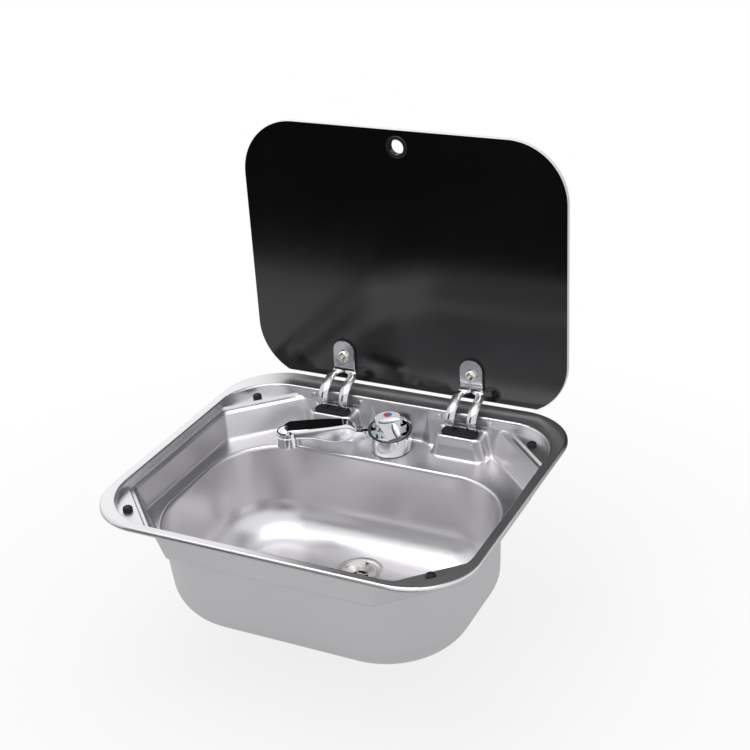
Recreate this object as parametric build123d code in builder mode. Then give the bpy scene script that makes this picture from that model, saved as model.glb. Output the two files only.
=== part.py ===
"""Drop-in sink for a recreational vehicle: a pressed bowl, a hinged glass lid and a folding tap.

Millimetres, +Z up, +X to the right along the hinge line, +Y to the rear.  The origin is the centre
of the rim outline, on the plane where the rim rests on the worktop.
"""
import os
from math import cos, radians, sin, tan

from build123d import *

# ---------------------------------------------------------------- sheet, rim and opening
FAR = 600.0
SHEET = 1.0
RIM_WIDTH = 420.0
RIM_DEPTH = 370.0
RIM_CORNER = 68.0
RIM_TOP = 4.5
RIM_EDGE_RADIUS = 3.0
OPENING_HALF = 198.0
OPENING_FRONT = -174.0
OPENING_REAR = 152.0
OPENING_FRONT_CORNER = 69.0
OPENING_REAR_CORNER = 60.0
OPENING_LIP_RADIUS = 2.5
LEDGE_Z = -4.0
# block of air above the rim, a little smaller than its outline: half width, front, rear, corner
AIR_HALF = 205.0
AIR_FRONT = -181.0
AIR_REAR = 180.0
AIR_CORNER = 64.0
AIR_HEIGHT = 20.0
AIR_DIAGONAL = 340.0

# upright rear wall that carries the lid hinges, and the bay left behind the tap as it leans forward
PILLAR_Y = OPENING_REAR
BAY_FRONT = 120.0
BAY_SHOULDER = 5.0
# height, half width where the bay starts, half width of its rear wall, wall in front, rear wall, rounding
BAY_LEVELS = (
    (0.0, 37.6, 35.4, 152.0, 152.25, 6.0),
    (-39.0, 39.0, 27.0, 146.5, 152.4, 13.0),
)

# slanting wall panels: an octagon with a small double step below the corner ledges
PANEL_CENTRE_Y = -8.5
PANEL_CREASE = 9.0
PANEL_FOOT = 4.0
LOWER_LEDGE_Z = -39.0
# height, half width, front, rear, |x| + |y| of the corner panels
PANEL_LEVELS = (
    (-2.0, 198.0, -174.0, 152.0, 294.5),
    (-4.0, 198.0, -174.0, 152.0, 294.5),
    (-7.0, 196.8, -172.8, 151.9, 292.0),
    (-7.6, 194.0, -170.3, 151.7, 287.5),
    (-10.0, 192.5, -168.5, 151.4, 283.0),
    (LOWER_LEDGE_Z, 187.5, -164.5, 146.5, 270.5),
)

# basin
BASIN_HALF = 171.5
BASIN_FRONT = -156.0
BASIN_REAR = 91.0
BASIN_FRONT_CORNER = 98.0
BASIN_REAR_CORNER = 79.0
BASIN_FLOOR_Z = -145.0
BASIN_FLOOR_HALF = 168.7
BASIN_FLOOR_FRONT = -138.3
BASIN_FLOOR_REAR = 87.0
BASIN_FLOOR_FRONT_CORNER = 88.0
BASIN_FLOOR_REAR_CORNER = 76.0
BASIN_BEND = 42.0
BASIN_LIP = 4.0

# raised housings for the hinge arms
HINGE_X = 80.0
BUMP_TOP_Z = -13.0
BUMP_FOOT_HALF = 33.0
BUMP_TOP_HALF = 27.0
BUMP_FOOT_FRONT = 126.0
BUMP_TOP_FRONT = 128.0
BUMP_CORNER = 9.5
BUMP_EDGE = 3.0
BUMP_FOOT_BEND = 3.0

SLOT_HALF = 20.0
SLOT_FRONT = 131.9
SLOT_REAR = 148.4
SLOT_CORNER = 3.5

# rivets that hold the hinge brackets to the pillars
RIVET_OFFSET = 30.5
RIVET_Z = -2.8
RIVET_RADIUS = 1.6
RIVET_HEAD_RADIUS = 3.3
RIVET_HEAD = 1.3
RIVET_SEAT_Y = 151.88
RIVET_BORE = 0.9
RIVET_BORE_DEPTH = 1.6
RIVET_TAIL_RADIUS = 2.3
RIVET_TAIL = 3.0

# rubber rests for the closed lid
BUMPER_PLACES = ((-171.0, 123.3), (171.0, 123.3), (-170.2, -146.0), (170.2, -146.0))
BUMPER_RADIUS = 5.2
BUMPER_TOP_Z = 1.2
BUMPER_EDGE = 2.6
BUMPER_STEM_RADIUS = 2.4
BUMPER_BARB = 0.8
BUMPER_BARB_DEPTH = 2.5
BUMPER_BARB_TAPER = 12.0

# foam seal under the rim
SEAL_INSET = 3.2
SEAL_WIDTH = 5.2

# lid, standing open
LID_WIDTH = 385.0
LID_TOP_Z = 319.0
LID_CUT_Z = 10.7
LID_ROUND_BOTTOM_Z = 3.4
LID_CORNER = 66.0
LID_INNER_Y = 178.2
LID_THICK = 5.0
LID_EDGE = 0.7
FINGER_Z = 299.5
FINGER_RADIUS = 8.5
GROMMET_RADIUS = 12.5
GROMMET_NECK = 10.4
GROMMET_LIP = 1.1

# hinges: pivot, arm plate and the screw through the glass
PIVOT_Y = 165.7
PIVOT_Z = -11.0
PIN_RADIUS = 3.0
RUNNING_FIT = 0.05
EYE_RADIUS = 5.5
ARM_SHEET = 2.2
ARM_INNER = 7.8
ARM_OUTER = 18.2
TONGUE_HALF = 13.5
TONGUE_TOP_Z = 61.0
TONGUE_Y = 176.1
YOKE_Z = 19.6
YOKE_BEND_Z = 25.2
ARCH_REAR_Y = 172.7
ARM_PATH = (
    (PIVOT_Y, PIVOT_Z - EYE_RADIUS + ARM_SHEET / 2),
    (143.0, -17.2),
    (149.2, 18.2),
    (173.0, 19.9),
    (TONGUE_Y, YOKE_BEND_Z),
    (TONGUE_Y, TONGUE_TOP_Z),
)
ARM_BENDS = (4.5, 11.0, 6.0, 6.0)
SCREW_Z = 41.5
SCREW_RADIUS = 2.9
SCREW_HEAD_RADIUS = 7.4
SCREW_HEAD = 4.6
SCREW_SOCKET = 3.2
SLEEVE_RADIUS = 4.9
CAP_RADIUS = 9.0
CAP_HEIGHT = 5.5
CAP_EDGE = 3.5
BRACKET_SHEET = 2.0
BRACKET_HALF = 37.0
CHEEK_INNER = 24.0
CHEEK_REAR = 173.0
CHEEK_LOW_Z = -21.0
BRACKET_LOW_Z = -11.5
BRACKET_TOP_Z = 1.8
BRACKET_CORNER = 5.0
PIN_HEAD = 1.4
PIN_HEAD_RADIUS = 4.2
GASKET_PROUD = 1.3
ARCH_START_Y = 130.0
ARCH_DEPTH = 45.0
ARCH_HEIGHT = 30.0
RUBBER_HALF = 21.4
RUBBER_FRONT = 130.6
RUBBER_REAR = 148.3
RUBBER_CORNER = 6.5
RUBBER_LIP = 2.6
RUBBER_NECK = 2.4
RUBBER_WALL = 0.8
ARM_GAP = 0.6
# rubber shoe on each arm that fills its window in the slot rubber while the lid is open
SHOE_RADIUS = PIVOT_Y - SLOT_FRONT - RUBBER_WALL - 0.5
SHOE_LOW_Z = -16.4

# drain
DRAIN_X = 1.0
DRAIN_Y = 27.0
DRAIN_RECESS_RADIUS = 27.0
DRAIN_RECESS_DEPTH = 2.0
DRAIN_HOLE_RADIUS = 21.0
DRAIN_FLANGE_RADIUS = 25.0
DRAIN_DISH_RADIUS = 20.0
DRAIN_WELL_RADIUS = 9.5
DRAIN_BOSS_RADIUS = 3.4
DRAIN_SCREW_RADIUS = 1.8
DRAIN_GASKET = 1.5
DRAIN_END_Z = -196.0
CROSS_BAR = 1.6
TAIL_BARB_RADIUS = 12.5

# tap: vertical axis, turned head and folding spout
TAP_X = 1.2
TAP_Y = 122.6
TAP_TURN = 23.0
TAP_GASKET = 0.8
BASE_THICK = 2.0
WASHER_THICK = 2.0
NUT_ACROSS_FLATS = 36.0
NUT_HEIGHT = 7.0
TAIL_WALL = 1.0
SPINDLE_FOOT_Z = -45.0
SHANK_RADIUS = 13.0
SHANK_END_Z = -78.0
COLUMN_TOP_Z = -30.0
BASE_RADIUS = 19.4
CUP_SKIRT_RADIUS = 22.2
CUP_SKIRT_BORE = 20.0
CUP_SKIRT_Z = -38.3
CUP_RIM_RADIUS = 25.3
CUP_BORE = 24.3
CUP_FOOT_Z = -35.9
BALL_Z = -16.0
BALL_RADIUS = 23.6
CUP_RIM_Z = -13.5
CUP_RIM_TILT = 10.2
BLADE_Z = -7.5
BLADE_TILT = 24.8
KNOB_FOOT_Z = -23.0
SPINDLE_RADIUS = 2.8
CARTRIDGE_RADIUS = 10.2
CARTRIDGE_FOOT_Z = -62.0
TAIL_RADIUS = 4.2
TAIL_OFFSET = 4.6
TAIL_END_Z = -152.0
TAIL_SPREAD = 12.0
TAIL_BEND_TOP_Z = -84.0
TAIL_BEND_LOW_Z = -104.0
TAIL_BEND = 14.0
KNUCKLE_REACH = 32.7
KNUCKLE_Z = -18.5
KNUCKLE_RADIUS = 5.5
KNUCKLE_PIN_RADIUS = 2.0
SPOUT_TIP_REACH = 120.5
SPOUT_TIP_RADIUS = 14.0
SPOUT_TIP_Z = -7.2
SPOUT_ROOT_REACH = 45.0
SPOUT_ROOT_Z = -2.4
NOZZLE_REACH = 118.0
NOZZLE_SIDE = -3.0
NOZZLE_RADIUS = 11.8
NOZZLE_BALL_Z = -17.7
AERATOR_REACH = 115.2
AERATOR_RADIUS = 14.2
AERATOR_FOOT_Z = -27.6
AERATOR_TOP_Z = -14.6
# distance from the tap's axis, half width, top, bottom, corner radius of the spout's sections
SPOUT_SECTIONS = (
    (37.0, 5.4, -10.5, -25.5, 4.5),
    (49.0, 9.2, -2.0, -24.5, 5.0),
    (61.0, 11.2, -1.6, -26.0, 5.4),
    (73.0, 12.6, -2.4, -23.0, 5.4),
    (85.0, 13.6, -3.2, -19.6, 5.4),
    (97.0, 14.2, -4.2, -18.6, 5.4),
    (109.0, 14.3, -5.0, -18.6, 5.4),
    (121.0, 14.3, -5.8, -18.6, 5.4),
)

CUP_FLOOR_Z = -31.0
CUP_WAIST_RADIUS = 24.6
CUP_WAIST_Z = -25.0
NECK_HALF = 3.0
NECK_HALF_HEIGHT = 4.6
FORK_HALF = 6.4
FORK_GAP = 0.35
WATERWAY_RADIUS = 8.5
WATERWAY_DEPTH = 5.0
AERATOR_BORE = 10.6
TRUNNION_RADIUS = 1.5
TRUNNION_HALF = 7.0
POCKET_HALF = 3.2
POCKET_REACH = 6.0
KNOB_TURN = 40.0
BLADE_FRONT_HALF = 6.0
BLADE_REAR_HALF = 14.5
BLADE_REAR_Y = 8.0
SCOOP_FLOOR_Z = -21.0
SCOOP_RIM = 1.4
SCOOP_GAP = 0.2
HANDLE_RISE = 0.6
# hollows in the blade's slope: place across and up the slope, half width, half length, depth
THUMB_REST = (0.4, 4.9, 12.4, 4.4, 1.5)
BLADE_GROOVE = (4.2, -9.0, 4.2, 11.5, 1.6)
MARK_HALF = 5.0
MARK_RISE = 3.1
MARK_DEPTH = 0.8
MARK_X = 1.2
MARK_Y = 12.6
POCKET_ROOM = 1.1

os.makedirs("parts", exist_ok=True)


def finish(piece, name):
    """Label a finished piece and write it."""
    piece.part.label = name
    export_step(piece.part, f"parts/{name}.step")


def facing(y):
    """Plane seen from the front at one depth: local X to the right, local Y up."""
    return Plane.XZ.offset(-y)


def rivet_places():
    """Rivet centres seen from the front."""
    return [
        (side * HINGE_X + offset, RIVET_Z)
        for side in (-1, 1)
        for offset in (-RIVET_OFFSET, RIVET_OFFSET)
    ]


def turned(points, x, y):
    """Solid turned about an upright axis from (radius, height) points."""
    with BuildPart() as solid:
        with BuildSketch(Plane(origin=(x, y, 0), x_dir=(1, 0, 0), z_dir=(0, -1, 0))):
            Polygon(*points, align=None)
        revolve(axis=Axis((x, y, 0), (0, 0, 1)))
    return solid.part


def turned_across(points, x, z):
    """Solid turned about a level front-to-rear axis from (radius, depth) points."""
    with BuildPart() as solid:
        with BuildSketch(Plane(origin=(x, 0, z), x_dir=(1, 0, 0), z_dir=(0, 0, 1))):
            Polygon(*points, align=None)
        revolve(axis=Axis((x, 0, z), (0, 1, 0)))
    return solid.part


def rounded_box(left, right, front, rear, low, high, corner):
    """Upright box with rounded vertical corners."""
    with BuildPart() as box:
        with BuildSketch(Plane.XY.offset(low)):
            with Locations(((left + right) / 2, (front + rear) / 2)):
                RectangleRounded(right - left, rear - front, corner)
        extrude(amount=high - low)
    return box.part


def opening_space(grow):
    """Space inside the rim, down to the corner ledges."""
    with BuildPart() as space:
        with BuildSketch(Plane.XY.offset(LEDGE_Z - grow)) as outline:
            with Locations((0, (OPENING_FRONT + OPENING_REAR) / 2)):
                Rectangle(2 * OPENING_HALF + 2 * grow, OPENING_REAR - OPENING_FRONT + 2 * grow)
            fillet(outline.vertices().group_by(Axis.Y)[0], OPENING_FRONT_CORNER + grow)
            fillet(outline.vertices().group_by(Axis.Y)[-1], OPENING_REAR_CORNER + grow)
        extrude(amount=RIM_TOP - LEDGE_Z)
    return space.part


def panel_space(grow):
    """Space inside the slanting panels, with rounded creases and foot."""
    with BuildPart() as space:
        for z, half, front, rear, diagonal in PANEL_LEVELS:
            a = half + grow
            f = front - grow - PANEL_CENTRE_Y
            r = rear + grow - PANEL_CENTRE_Y
            k = diagonal + grow * 2**0.5
            with BuildSketch(Plane.XY.offset(z - grow)) as outline:
                with Locations((0, PANEL_CENTRE_Y)):
                    Polygon(
                        (a, a - k),
                        (a, k - a),
                        (k - r, r),
                        (r - k, r),
                        (-a, k - a),
                        (-a, a - k),
                        (-k - f, f),
                        (k + f, f),
                        align=None,
                    )
                fillet(outline.vertices(), PANEL_CREASE)
        loft(ruled=True)
        fillet(space.edges().group_by(Axis.Z)[0], PANEL_FOOT + grow)
    return space.part


def basin_space(grow):
    """Space inside the basin: near-upright walls and a wide bend at the floor."""
    levels = (
        (LOWER_LEDGE_Z + 1, BASIN_HALF, BASIN_FRONT, BASIN_REAR, BASIN_FRONT_CORNER, BASIN_REAR_CORNER),
        (
            BASIN_FLOOR_Z,
            BASIN_FLOOR_HALF,
            BASIN_FLOOR_FRONT,
            BASIN_FLOOR_REAR,
            BASIN_FLOOR_FRONT_CORNER,
            BASIN_FLOOR_REAR_CORNER,
        ),
    )
    with BuildPart() as space:
        for z, half, front, rear, front_corner, rear_corner in levels:
            with BuildSketch(Plane.XY.offset(z - grow)) as outline:
                with Locations((0, (front + rear) / 2)):
                    Rectangle(2 * half + 2 * grow, rear - front + 2 * grow)
                fillet(outline.vertices().group_by(Axis.Y)[0], front_corner + grow)
                fillet(outline.vertices().group_by(Axis.Y)[-1], rear_corner + grow)
        loft(ruled=True)
        fillet(space.edges().group_by(Axis.Z)[0], BASIN_BEND + grow)
    return space.part


def bump_block(side, shrink):
    """Raised housing round one hinge, standing on the lower ledge against its pillar."""
    levels = (
        (LOWER_LEDGE_Z - 6 - shrink, BUMP_FOOT_HALF + 1.4, BUMP_FOOT_FRONT - 0.5),
        (BUMP_TOP_Z - shrink, BUMP_TOP_HALF, BUMP_TOP_FRONT),
    )
    back = PILLAR_Y + 15
    with BuildPart() as block:
        for z, half, front in levels:
            with BuildSketch(Plane.XY.offset(z)) as outline:
                with Locations((side * HINGE_X, (front + shrink + back) / 2)):
                    Rectangle(2 * half - 2 * shrink, back - front - shrink)
                fillet(outline.vertices().group_by(Axis.Y)[0], BUMP_CORNER - shrink)
        loft(ruled=True)
        top = block.edges().group_by(Axis.Z)[-1]
        fillet(top.filter_by(lambda e: (e @ 0.5).Y < back - 1), BUMP_EDGE - shrink)
    return block.part


def bay_space(grow):
    """Bay in the leaning rear wall behind the tap: no depth at the lip, deepest at its foot."""
    with BuildPart() as space:
        for z, start, end, wall, rear, rounding in BAY_LEVELS:
            run = start - end
            depth = rear - wall
            shift = grow * ((run**2 + depth**2) ** 0.5 - run) / depth
            with BuildSketch(Plane.XY.offset(z - grow)) as outline:
                Polygon(
                    (-start - BAY_SHOULDER, BAY_FRONT),
                    (start + BAY_SHOULDER, BAY_FRONT),
                    (start + BAY_SHOULDER, wall + grow),
                    (start + shift, wall + grow),
                    (end + shift, rear + grow),
                    (-end - shift, rear + grow),
                    (-start - shift, wall + grow),
                    (-start - BAY_SHOULDER, wall + grow),
                    align=None,
                )
                creases = outline.vertices().filter_by(lambda v: abs(v.X) < start + shift + 0.1)
                fillet(creases.filter_by(lambda v: v.Y < rear + grow - 0.01 and v.Y > wall), rounding - grow)
                fillet(outline.vertices().group_by(Axis.Y)[-1], rounding + grow)
        loft(ruled=True)
        foot = space.edges().group_by(Axis.Z)[0]
        foot = foot.filter_by(lambda e: (e @ 0.5).Y > PANEL_LEVELS[-1][3] + grow - 0.1)
        fillet(foot, PANEL_FOOT + grow)
    return space.part


def is_basin_edge(edge, grow):
    """True for an edge on the basin's mouth."""
    point = edge @ 0.5
    inside = abs(point.X) < BASIN_HALF + grow + 0.5
    return inside and BASIN_FRONT - grow - 0.5 < point.Y < BASIN_REAR + grow + 0.5


def is_bump_foot(edge):
    """True for an edge where a raised housing meets the lower ledge."""
    point = edge @ 0.5
    return abs(abs(point.X) - HINGE_X) < BUMP_FOOT_HALF + 1 and 120 < point.Y < 140.5


def is_opening_lip(edge):
    """True for an edge on the opening's outline, false on the block above the rim."""
    point = edge @ 0.5
    inside = abs(point.X) < AIR_HALF - 1 and AIR_FRONT + 1 < point.Y < AIR_REAR - 1
    return inside and abs(point.X) + abs(point.Y) < AIR_DIAGONAL


def level_edges(space, z):
    """Edges that lie at one height."""
    return space.edges().filter_by_position(Axis.Z, z - 0.01, z + 0.01)


def pressing(grow):
    """Everything above the sheet's upper face, or above its lower face when grown by the sheet."""
    opening = opening_space(grow)
    panels = panel_space(grow)
    bay = bay_space(grow)
    basin = basin_space(grow)
    air = rounded_box(
        -AIR_HALF, AIR_HALF, AIR_FRONT, AIR_REAR, RIM_TOP - grow, RIM_TOP + AIR_HEIGHT, AIR_CORNER
    )
    bumps = [bump_block(side, grow) for side in (-1, 1)]
    ledge = LOWER_LEDGE_Z - grow
    with BuildPart() as space:
        add(opening)
        add(panels)
        add(bay)
        add(bumps, mode=Mode.SUBTRACT)
        fillet(level_edges(space, ledge).filter_by(is_bump_foot), BUMP_FOOT_BEND + grow)
        add(air)
        fillet(level_edges(space, RIM_TOP - grow).filter_by(is_opening_lip), OPENING_LIP_RADIUS - grow)
        add(basin)
        mouth = level_edges(space, ledge).filter_by(lambda e: is_basin_edge(e, grow))
        fillet(mouth, BASIN_LIP - grow)
        with BuildSketch(Plane.XY.offset(BASIN_FLOOR_Z - grow - DRAIN_RECESS_DEPTH)):
            with Locations((DRAIN_X, DRAIN_Y)):
                Circle(DRAIN_RECESS_RADIUS + grow)
        extrude(amount=DRAIN_RECESS_DEPTH + 1)
    return space.part


# ---------------------------------------------------------------- pressed sink
upper_space = pressing(0)
lower_space = pressing(SHEET)
with BuildPart() as rim_hollow:
    with BuildSketch(Plane.XY.offset(-1)):
        RectangleRounded(RIM_WIDTH - 2 * SHEET, RIM_DEPTH - 2 * SHEET, RIM_CORNER - SHEET)
    extrude(amount=RIM_TOP - SHEET + 1)
    fillet(rim_hollow.edges().group_by(Axis.Z)[-1], RIM_EDGE_RADIUS - SHEET)

with BuildPart() as sink_bowl:
    with BuildSketch():
        RectangleRounded(RIM_WIDTH, RIM_DEPTH, RIM_CORNER)
    extrude(amount=RIM_TOP)
    fillet(sink_bowl.edges().group_by(Axis.Z)[-1], RIM_EDGE_RADIUS)
    add(rim_hollow.part, mode=Mode.SUBTRACT)
    add(lower_space)
    add(upper_space, mode=Mode.SUBTRACT)
    with Locations((TAP_X, TAP_Y, 0)):
        Cylinder(SHANK_RADIUS + 0.5, 2 * abs(LOWER_LEDGE_Z) + 4, mode=Mode.SUBTRACT)
    with Locations((DRAIN_X, DRAIN_Y, BASIN_FLOOR_Z)):
        Cylinder(DRAIN_HOLE_RADIUS, 10, mode=Mode.SUBTRACT)
    for side in (-1, 1):
        with BuildSketch(Plane.XY.offset(BUMP_TOP_Z - 5)):
            with Locations((side * HINGE_X, (SLOT_FRONT + SLOT_REAR) / 2)):
                RectangleRounded(2 * SLOT_HALF, SLOT_REAR - SLOT_FRONT, SLOT_CORNER)
        extrude(amount=10, mode=Mode.SUBTRACT)
    with BuildSketch(facing(PILLAR_Y + 10)):
        with Locations(*rivet_places()):
            Circle(RIVET_RADIUS)
    extrude(amount=20, mode=Mode.SUBTRACT)
    with BuildSketch(Plane.XY.offset(LEDGE_Z - 3)):
        with Locations(*BUMPER_PLACES):
            Circle(BUMPER_STEM_RADIUS)
    extrude(amount=6, mode=Mode.SUBTRACT)
finish(sink_bowl, "sink_bowl")


# ---------------------------------------------------------------- rim seal and lid rests
with BuildPart() as rim_seal:
    with BuildSketch():
        RectangleRounded(RIM_WIDTH - 2 * SEAL_INSET, RIM_DEPTH - 2 * SEAL_INSET, RIM_CORNER - SEAL_INSET)
        inset = SEAL_INSET + SEAL_WIDTH
        RectangleRounded(
            RIM_WIDTH - 2 * inset, RIM_DEPTH - 2 * inset, RIM_CORNER - inset, mode=Mode.SUBTRACT
        )
    extrude(amount=RIM_TOP - SHEET)
finish(rim_seal, "rim_seal")

with BuildPart() as lid_bumpers:
    for x, y in BUMPER_PLACES:
        with BuildSketch(Plane.XY.offset(LEDGE_Z)):
            with Locations((x, y)):
                Circle(BUMPER_RADIUS)
        extrude(amount=BUMPER_TOP_Z - LEDGE_Z)
    fillet(lid_bumpers.edges().group_by(Axis.Z)[-1], BUMPER_EDGE)
    for x, y in BUMPER_PLACES:
        with BuildSketch(Plane.XY.offset(LEDGE_Z - SHEET)):
            with Locations((x, y)):
                Circle(BUMPER_STEM_RADIUS)
        extrude(amount=SHEET)
        with BuildSketch(Plane.XY.offset(LEDGE_Z - SHEET)):
            with Locations((x, y)):
                Circle(BUMPER_STEM_RADIUS + BUMPER_BARB)
        extrude(amount=-BUMPER_BARB_DEPTH, taper=BUMPER_BARB_TAPER)
finish(lid_bumpers, "lid_bumpers")

# ---------------------------------------------------------------- glass lid
with BuildPart() as lid_glass:
    with BuildSketch(facing(LID_INNER_Y)) as outline:
        with Locations((0, (LID_TOP_Z + LID_ROUND_BOTTOM_Z) / 2)):
            RectangleRounded(LID_WIDTH, LID_TOP_Z - LID_ROUND_BOTTOM_Z, LID_CORNER)
        with Locations((0, LID_CUT_Z)):
            Rectangle(LID_WIDTH, 20, align=(Align.CENTER, Align.MAX), mode=Mode.SUBTRACT)
        fillet(outline.vertices().group_by(Axis.Z)[0], 3)
    extrude(amount=-LID_THICK)
    outer = lid_glass.edges().filter_by(lambda e: abs(e.bounding_box().size.Y) < 0.01)
    chamfer(outer, LID_EDGE)
    with BuildSketch(facing(LID_INNER_Y)):
        with Locations((0, FINGER_Z)):
            Circle(GROMMET_NECK)
        with Locations((-HINGE_X, SCREW_Z), (HINGE_X, SCREW_Z)):
            Circle(SLEEVE_RADIUS)
    extrude(amount=-LID_THICK, mode=Mode.SUBTRACT)
finish(lid_glass, "lid_glass")

glass_front = LID_INNER_Y
glass_back = LID_INNER_Y + LID_THICK
grommet_profile = (
    (FINGER_RADIUS, glass_front - GROMMET_LIP),
    (GROMMET_RADIUS - 0.6, glass_front - GROMMET_LIP),
    (GROMMET_RADIUS, glass_front - 0.4),
    (GROMMET_RADIUS, glass_front),
    (GROMMET_NECK, glass_front),
    (GROMMET_NECK, glass_back),
    (GROMMET_RADIUS, glass_back),
    (GROMMET_RADIUS, glass_back + 0.4),
    (GROMMET_RADIUS - 0.6, glass_back + GROMMET_LIP),
    (FINGER_RADIUS, glass_back + GROMMET_LIP),
)
with BuildPart() as finger_grommet:
    add(turned_across(grommet_profile, 0, FINGER_Z))
finish(finger_grommet, "finger_grommet")


# ---------------------------------------------------------------- hinge arms
def tongue_outline(centre, grow):
    """Tongue seen from the front: parallel sides and a round top."""
    half = TONGUE_HALF + grow
    with BuildSketch(facing(LID_INNER_Y)) as outline:
        with Locations((centre, YOKE_BEND_Z)):
            Rectangle(2 * half, TONGUE_TOP_Z - TONGUE_HALF - YOKE_BEND_Z, align=(Align.CENTER, Align.MIN))
        with Locations((centre, TONGUE_TOP_Z - TONGUE_HALF)):
            Circle(half)
    return outline.sketch


def arm_face(centre):
    """Whole arm plate seen from the front."""
    with BuildSketch(facing(LID_INNER_Y)) as outline:
        add(tongue_outline(centre, 0))
        with Locations((centre, 0)):
            Polygon(
                (-ARM_OUTER, -ARCH_HEIGHT),
                (ARM_OUTER, -ARCH_HEIGHT),
                (ARM_OUTER, YOKE_Z),
                (TONGUE_HALF, YOKE_BEND_Z + 0.5),
                (-TONGUE_HALF, YOKE_BEND_Z + 0.5),
                (-ARM_OUTER, YOKE_Z),
                align=None,
            )
    return outline.sketch


def arch_space(centre):
    """Gap between the two arms of one plate, closed by a round arch at the yoke."""
    with BuildPart() as gap:
        with BuildSketch(Plane.XY.offset(-ARCH_HEIGHT)):
            with Locations((centre, ARCH_START_Y)):
                Rectangle(2 * ARM_INNER, ARCH_DEPTH, align=(Align.CENTER, Align.MIN))
        extrude(amount=ARCH_HEIGHT)
        with BuildSketch():
            with Locations((centre, ARCH_START_Y)):
                Rectangle(
                    2 * ARM_INNER,
                    ARCH_REAR_Y - ARM_INNER - ARCH_START_Y,
                    align=(Align.CENTER, Align.MIN),
                )
            with Locations((centre, ARCH_REAR_Y - ARM_INNER)):
                Circle(ARM_INNER)
        extrude(amount=ARCH_HEIGHT)
    return gap.part


for side, word in ((-1, "left"), (1, "right")):
    centre = side * HINGE_X
    face = arm_face(centre)
    with BuildPart() as bent_plate:
        with BuildSketch(Plane.YZ.offset(centre - ARM_OUTER)):
            with BuildLine():
                path = FilletPolyline(*ARM_PATH, radius=list(ARM_BENDS))
            trace(path, ARM_SHEET)
            with Locations((PIVOT_Y, PIVOT_Z)):
                Circle(EYE_RADIUS)
        extrude(amount=2 * ARM_OUTER)
        with BuildSketch(Plane.YZ.offset(centre - ARM_OUTER)):
            with Locations((PIVOT_Y, PIVOT_Z)):
                Circle(PIN_RADIUS + RUNNING_FIT)
        extrude(amount=2 * ARM_OUTER, mode=Mode.SUBTRACT)
    with BuildPart() as hinge_arm:
        add(bent_plate.part)
        with BuildSketch(facing(100)):
            add(face.moved(Location((0, 100 - LID_INNER_Y, 0))))
        extrude(amount=-100, mode=Mode.INTERSECT)
        add(arch_space(centre), mode=Mode.SUBTRACT)
        with Locations(Location((centre, TONGUE_Y, SCREW_Z), (90, 0, 0))):
            Cylinder(SCREW_RADIUS, 10, mode=Mode.SUBTRACT)
    finish(hinge_arm, f"hinge_arm_{word}")

    with BuildPart() as arm_shoe:
        for turn in (-1, 1):
            with BuildSketch(Plane.YZ.offset(centre + turn * (ARM_OUTER + ARM_INNER) / 2)):
                with Locations((PIVOT_Y, PIVOT_Z)):
                    Circle(SHOE_RADIUS)
                with Locations((ARM_PATH[1][0] + 1.2, SHOE_LOW_Z)):
                    Rectangle(
                        30,
                        BUMP_TOP_Z + RUBBER_LIP - SHOE_LOW_Z,
                        align=(Align.MAX, Align.MIN),
                        mode=Mode.INTERSECT,
                    )
            extrude(amount=(ARM_OUTER - ARM_INNER) / 2, both=True)
        add(bent_plate.part, mode=Mode.SUBTRACT)
    finish(arm_shoe, f"arm_shoe_{word}")

    with BuildPart() as hinge_gasket:
        with BuildSketch(facing(LID_INNER_Y)):
            add(tongue_outline(centre, GASKET_PROUD))
        extrude(amount=LID_INNER_Y - TONGUE_Y - ARM_SHEET / 2)
        with BuildSketch(facing(LID_INNER_Y)):
            with Locations((centre, SCREW_Z)):
                Circle(SLEEVE_RADIUS)
        extrude(amount=-LID_THICK)
        with BuildSketch(facing(glass_back)):
            with Locations((centre, SCREW_Z)):
                Circle(SCREW_RADIUS)
        extrude(amount=10, mode=Mode.SUBTRACT)
    finish(hinge_gasket, f"hinge_gasket_{word}")

# ---------------------------------------------------------------- screws and caps through the glass
tongue_front = TONGUE_Y - ARM_SHEET / 2
with BuildPart() as lid_screws:
    for side in (-1, 1):
        with BuildSketch(facing(tongue_front)):
            with Locations((side * HINGE_X, SCREW_Z)):
                Circle(SCREW_HEAD_RADIUS)
        extrude(amount=SCREW_HEAD)
    fillet(lid_screws.edges().group_by(Axis.Y)[0], SCREW_HEAD - 0.8)
    for side in (-1, 1):
        with BuildSketch(facing(tongue_front - SCREW_HEAD)):
            with Locations((side * HINGE_X, SCREW_Z)):
                RegularPolygon(SCREW_SOCKET, 6)
        extrude(amount=-SCREW_HEAD + 0.6, mode=Mode.SUBTRACT)
        with BuildSketch(facing(tongue_front)):
            with Locations((side * HINGE_X, SCREW_Z)):
                Circle(SCREW_RADIUS)
        extrude(amount=-(glass_back - tongue_front) - CAP_HEIGHT + 2)
finish(lid_screws, "lid_screws")

with BuildPart() as lid_caps:
    for side in (-1, 1):
        with BuildSketch(facing(glass_back)):
            with Locations((side * HINGE_X, SCREW_Z)):
                Circle(CAP_RADIUS)
        extrude(amount=-CAP_HEIGHT)
    fillet(lid_caps.edges().group_by(Axis.Y)[-1], CAP_EDGE)
    for side in (-1, 1):
        with BuildSketch(facing(glass_back)):
            with Locations((side * HINGE_X, SCREW_Z)):
                Circle(SCREW_RADIUS)
        extrude(amount=-CAP_HEIGHT + 2, mode=Mode.SUBTRACT)
finish(lid_caps, "lid_caps")

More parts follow.
